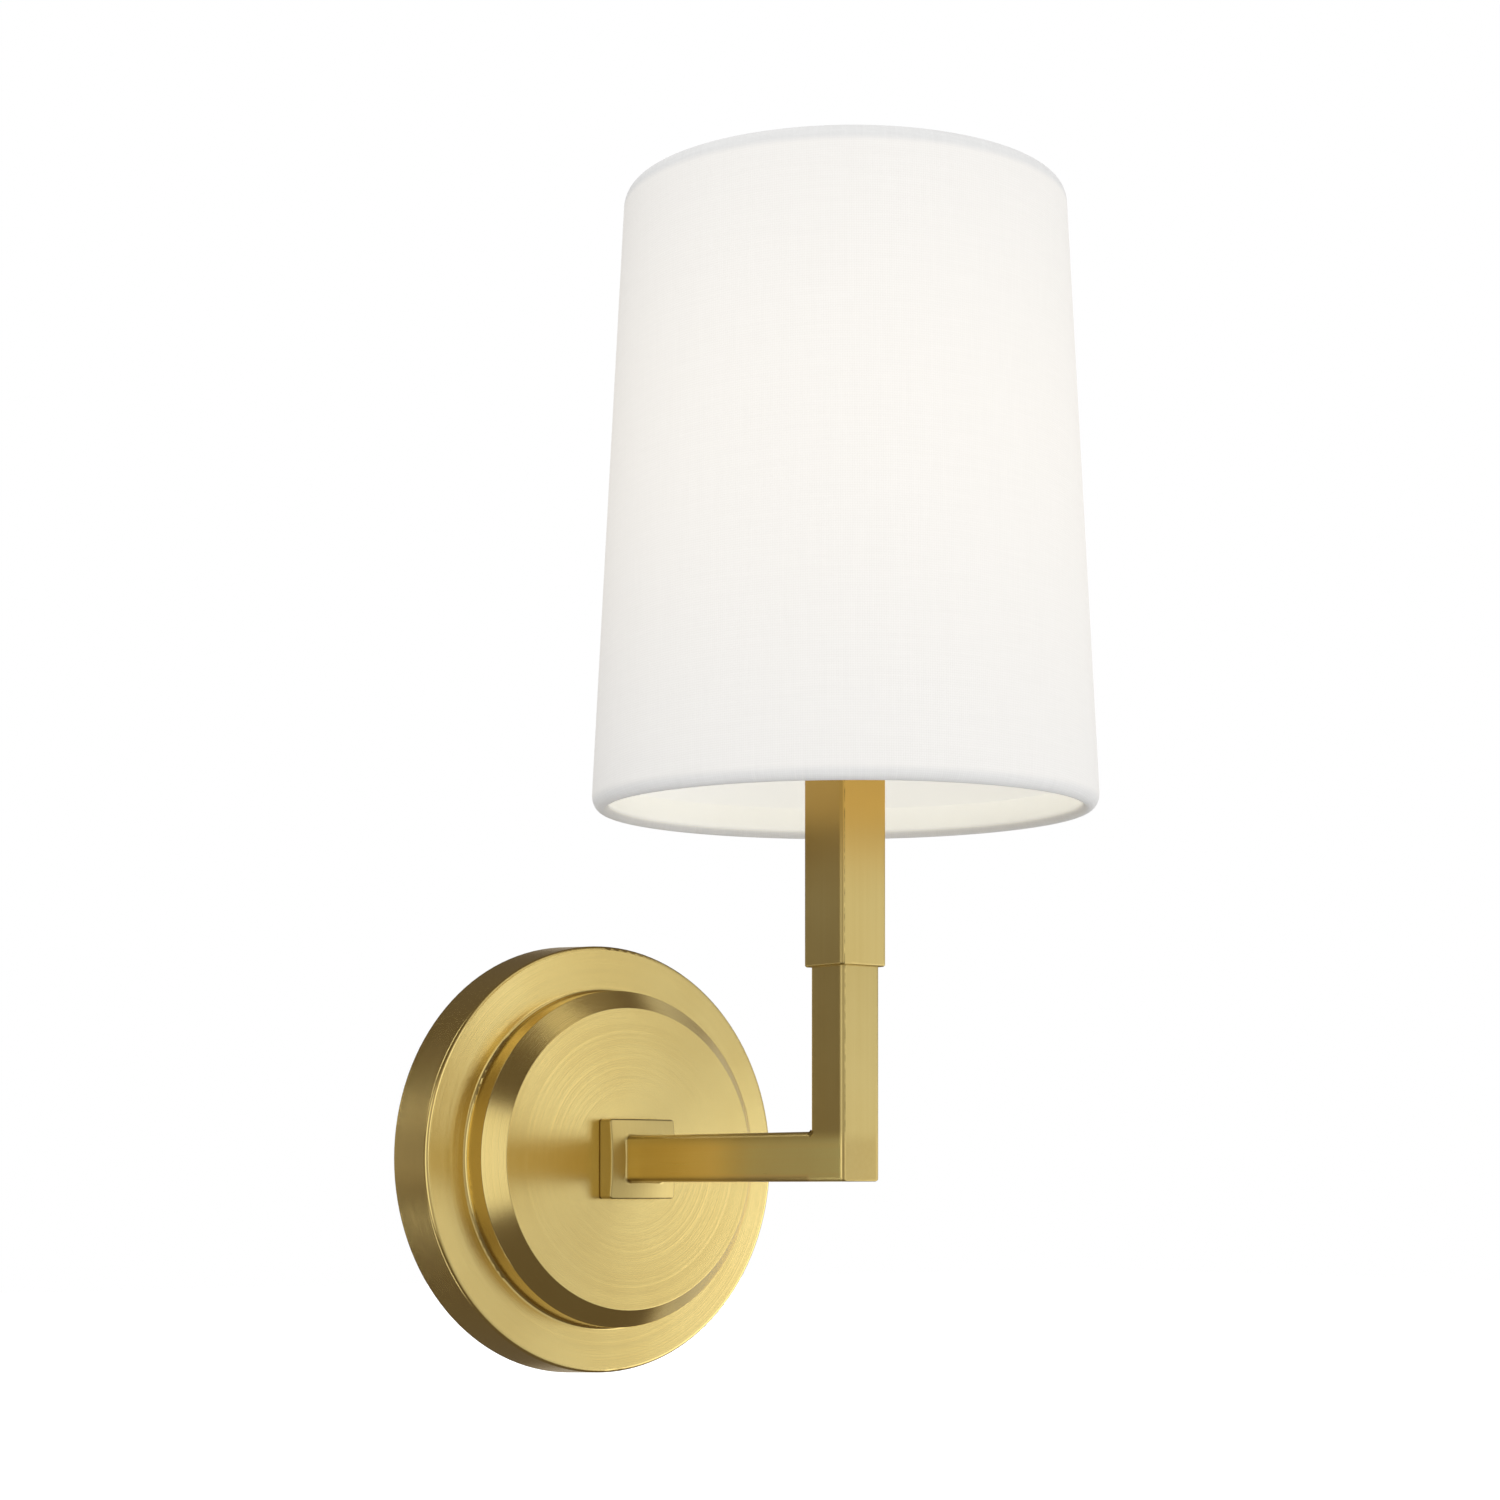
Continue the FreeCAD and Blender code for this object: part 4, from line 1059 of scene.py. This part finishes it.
# %% Model the threads
def wound_ridge(name, crest_r, thick, low, pitch, turns, steps):
    """A rounded thread: a small circle swept up a helix round the riser's axis."""
    nothing_selected()
    bpy.ops.mesh.primitive_circle_add(
        vertices=8, radius=thick, fill_type="NOTHING", location=(crest_r - thick, 0, low),
        rotation=(math.radians(90), 0, 0))
    piece = begin(name)
    apply_modifier(piece, "SCREW", axis="Z", angle=2 * math.pi, steps=steps, render_steps=steps,
                   iterations=turns, screw_offset=pitch)
    bpy.ops.object.mode_set(mode="EDIT")
    merge_points()
    bpy.ops.mesh.fill_holes(sides=0)
    bpy.ops.mesh.select_all(action="SELECT")
    bpy.ops.transform.translate(value=(0, RISER_Y, 0))
    close_up()
    return piece


def threaded(name, outline, **thread):
    """A tube spun from a closed outline in millimetres, with a thread wound round it."""
    tube = spun(name, [(r * MM, z * MM) for r, z in outline], 64)
    close_up()
    choose(wound_ridge(name + "_ridge", **thread), tube)
    bpy.ops.object.join()
    smooth(tube, 40)
    return tube


# in both outlines each point is a radius and a height, in millimetres
skirt_foot, skirt_head = (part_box("holder_skirt")[end][2] / MM for end in (0, 1))
shoulder = skirt_foot + 4.0
skirt = threaded("threaded_skirt", [
    (12.2, skirt_foot), (17.2, skirt_foot), (17.5, skirt_foot + 0.3), (17.5, shoulder - 0.3),
    (17.2, shoulder), (13.6, shoulder), (13.6, skirt_head - 0.5), (13.1, skirt_head),
    (12.5, skirt_head), (12.2, skirt_head - 0.3), (12.2, skirt_foot)],
    crest_r=14.0 * MM, thick=0.42 * MM, low=(shoulder + 2.6) * MM, pitch=2.3 * MM, turns=6,
    steps=48)
wear(skirt, finishes["black_phenolic"], "fixture", "black_phenolic", "holder_skirt")

cap_foot, cap_head = (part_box("lamp_cap")[end][2] / MM for end in (0, 1))
cap = threaded("threaded_cap", [
    (5.40, cap_foot), (5.60, cap_foot), (5.60, cap_head - 3.0), (6.25, cap_head - 2.5),
    (6.25, cap_head - 0.2), (6.05, cap_head), (5.50, cap_head), (5.50, cap_head - 2.6),
    (5.40, cap_head - 3.0), (5.40, cap_foot)],
    crest_r=5.95 * MM, thick=0.36 * MM, low=(cap_foot + 1.2) * MM, pitch=2.54 * MM, turns=6,
    steps=40)
wear(cap, finishes["nickel"], "lamp", "nickel", "lamp_cap")

# %% [markdown]
# ## The studio
# The sconce hangs in front of nothing but white. The floor is far below it, so its shadow
# falls there. The floor and the world are white to the camera and in reflections, and give
# other rays only as much light as a pale room would, so the background never adds glare.

# %% Floor and world
FLOOR_SIZE, FLOOR_Z = 80, -1.5
ROOM_LIGHT = 0.80
WHITE = (1, 1, 1, 1)
HALF_GREY = (0.5, 0.5, 0.5, 1)


def seen_directly(finish):
    """1 for rays that see a surface directly, in a reflection or through glass."""
    camera_ray, glossy_ray, glass_ray = (
        finish.node("ShaderNodeLightPath", output="Is " + kind + " Ray")
        for kind in ("Camera", "Glossy", "Transmission"))
    return finish.larger(finish.larger(camera_ray, glossy_ray), glass_ray)


nothing_selected()
bpy.ops.mesh.primitive_grid_add(x_subdivisions=6, y_subdivisions=6, size=FLOOR_SIZE,
                                location=(0, 0, FLOOR_Z))
floor = begin("floor")
bpy.ops.object.mode_set(mode="OBJECT")
floor_material, finish = new_finish("floor")
pale = finish.node("ShaderNodeBsdfDiffuse", {}, {"Color": HALF_GREY})
white = finish.node("ShaderNodeEmission", {}, {"Color": WHITE, "Strength": seen_directly(finish)})
finish.output(finish.node("ShaderNodeAddShader", {}, {0: pale, 1: white}))
floor.data.materials.append(floor_material)

world = bpy.data.worlds.new("pale_room")
world.use_nodes = True
bpy.context.scene.world = world
finish = Finish(world.node_tree)
direct = seen_directly(finish)
level = direct + (1 - direct) * ROOM_LIGHT
finish.output(finish.node("ShaderNodeBackground", {}, {"Color": WHITE, "Strength": level}),
              "ShaderNodeOutputWorld")
print("room light", ROOM_LIGHT)

# %% [markdown]
# Brushed metal is only as interesting as what it reflects. A product photographer puts the
# object in a tent of soft boxes and black cards, so that each face of a tube reflects another
# tone. The tent is a sphere that only reflections see, with a brightness for each direction.

# %% The tent
TENT_R = 1.4
TENT_SOFT = 5.0         # degrees
TENT_DIM = 0.13         # between the panels
TENT_SEAM = 95.0        # directions run from -95 to 265 degrees
CARD_COOL = (1, 0.995, 0.98, 1)
CARD_WARM = (1, 0.78, 0.54, 1)
SOFT_BOXES = [
    # from and to round the level, from and to above it, in degrees, then the brightness
    ("left front box", 8, 41, -26, 26, 1.10),
    ("narrow card", 41, 70, -26, 26, 0.44),
    ("front card", 70, 92, -45, 52, 0.47),
    ("high front box", 92, 122, 1, 52, 1.47),
    ("low front card", 92, 131, -45, 1, 0.56),
    ("low right box", 131, 164, -42, 2, 1.84),
    ("high right card", 122, 164, 2, 46, 0.54),
    ("right box", 164, 200, -42, 46, 0.62),
    ("right rear card", 200, 238, -28, 20, 0.52),
    ("rear card", -95, -72, -16, 16, 0.32),
    ("rim card", -72, -50, -7, 13, 0.43),
    ("left rear card", -50, -15, 1, 9, 0.13),
    ("left rear low card", -50, -15, -12, 1, 0.20),
    ("left rear top box", -44, -34, 15, 54, 3.00),
    ("left rear foot box", -44, -34, -54, -17, 3.00),
    ("high dome card", 40, 178, 57, 88, 0.25),
    ("left card", -15, 8, -26, 26, 0.38),
]


def tent_finish():
    """A brightness for each direction from the middle; dim panels are warmer than bright ones."""
    material, finish = new_finish("tent")
    x, y, z = finish.place()
    degrees = 180 / math.pi
    round_level = finish.calculate("ARCTAN2", -y, -x) * degrees
    round_level = (round_level + TENT_SEAM) % 360.0 - TENT_SEAM
    flat = finish.calculate("SQRT", x * x + y * y)
    above = finish.calculate("ARCTAN2", z, flat) * degrees
    light = TENT_DIM
    for _, left, right, low, high, brightness in SOFT_BOXES:
        box = (finish.window(round_level, left, right, TENT_SOFT)
               * finish.window(above, low, high, TENT_SOFT))
        light = box * (brightness - TENT_DIM) + light
    warmth = 1 - finish.step(light, 0.0, 0.7)
    colour = finish.mix(warmth, CARD_COOL, CARD_WARM)
    finish.output(finish.node("ShaderNodeEmission", {}, {"Color": colour, "Strength": light}))
    return material


nothing_selected()
bpy.ops.mesh.primitive_uv_sphere_add(segments=48, ring_count=24, radius=TENT_R,
                                     location=(0, 0, 0))
tent = bpy.context.object
tent.name = "tent"
tent.data.materials.append(tent_finish())
for ray in ("camera", "diffuse", "transmission", "shadow", "volume_scatter"):
    setattr(tent, "visible_" + ray, False)
print("tent with", len(SOFT_BOXES), "panels")

# %% [markdown]
# The linen is lit by four wide soft lamps: one from the front left, one from the front right,
# one from the left, and a weaker one from below for the light that a floor sends back. Each is
# a square that faces the shade. They are hidden from reflections, because the tent already
# gives the brass its soft boxes. The lamp in the shade isn't a light here: the linen and the
# liner glow by themselves a little, and no bare point of light burns out the liner.

# %% The lamps
LAMP_AIM = Vector((0, RISER_Y, 0.12))
LAMPS = [
    # name, place, side in metres, power in watts
    ("key_lamp", (-1.2, -1.7, 0.9), 1.4, 9.6),
    ("fill_lamp", (1.5, -1.6, 0.2), 1.4, 9.7),
    ("left_lamp", (-2.0, -0.1, 0.4), 1.4, 8.0),
    ("floor_bounce", (0.1, -0.9, -1.2), 1.6, 6.0),
]

for name, place, size, power in LAMPS:
    facing = (LAMP_AIM - Vector(place)).to_track_quat("-Z", "Y").to_euler()
    nothing_selected()
    bpy.ops.object.light_add(type="AREA", location=place, rotation=facing)
    lamp = bpy.context.object
    lamp.name = name
    lamp.data.shape = "SQUARE"
    lamp.data.size = size
    lamp.data.energy = power
    lamp.visible_glossy = False
    lamp.visible_camera = False
print("lamps:", [row[0] for row in LAMPS])

# %% [markdown]
# ## Finish
# Standard view keeps every colour as it was written.

# %% Close the frame
nothing_selected()
bpy.context.scene.view_settings.view_transform = "Standard"
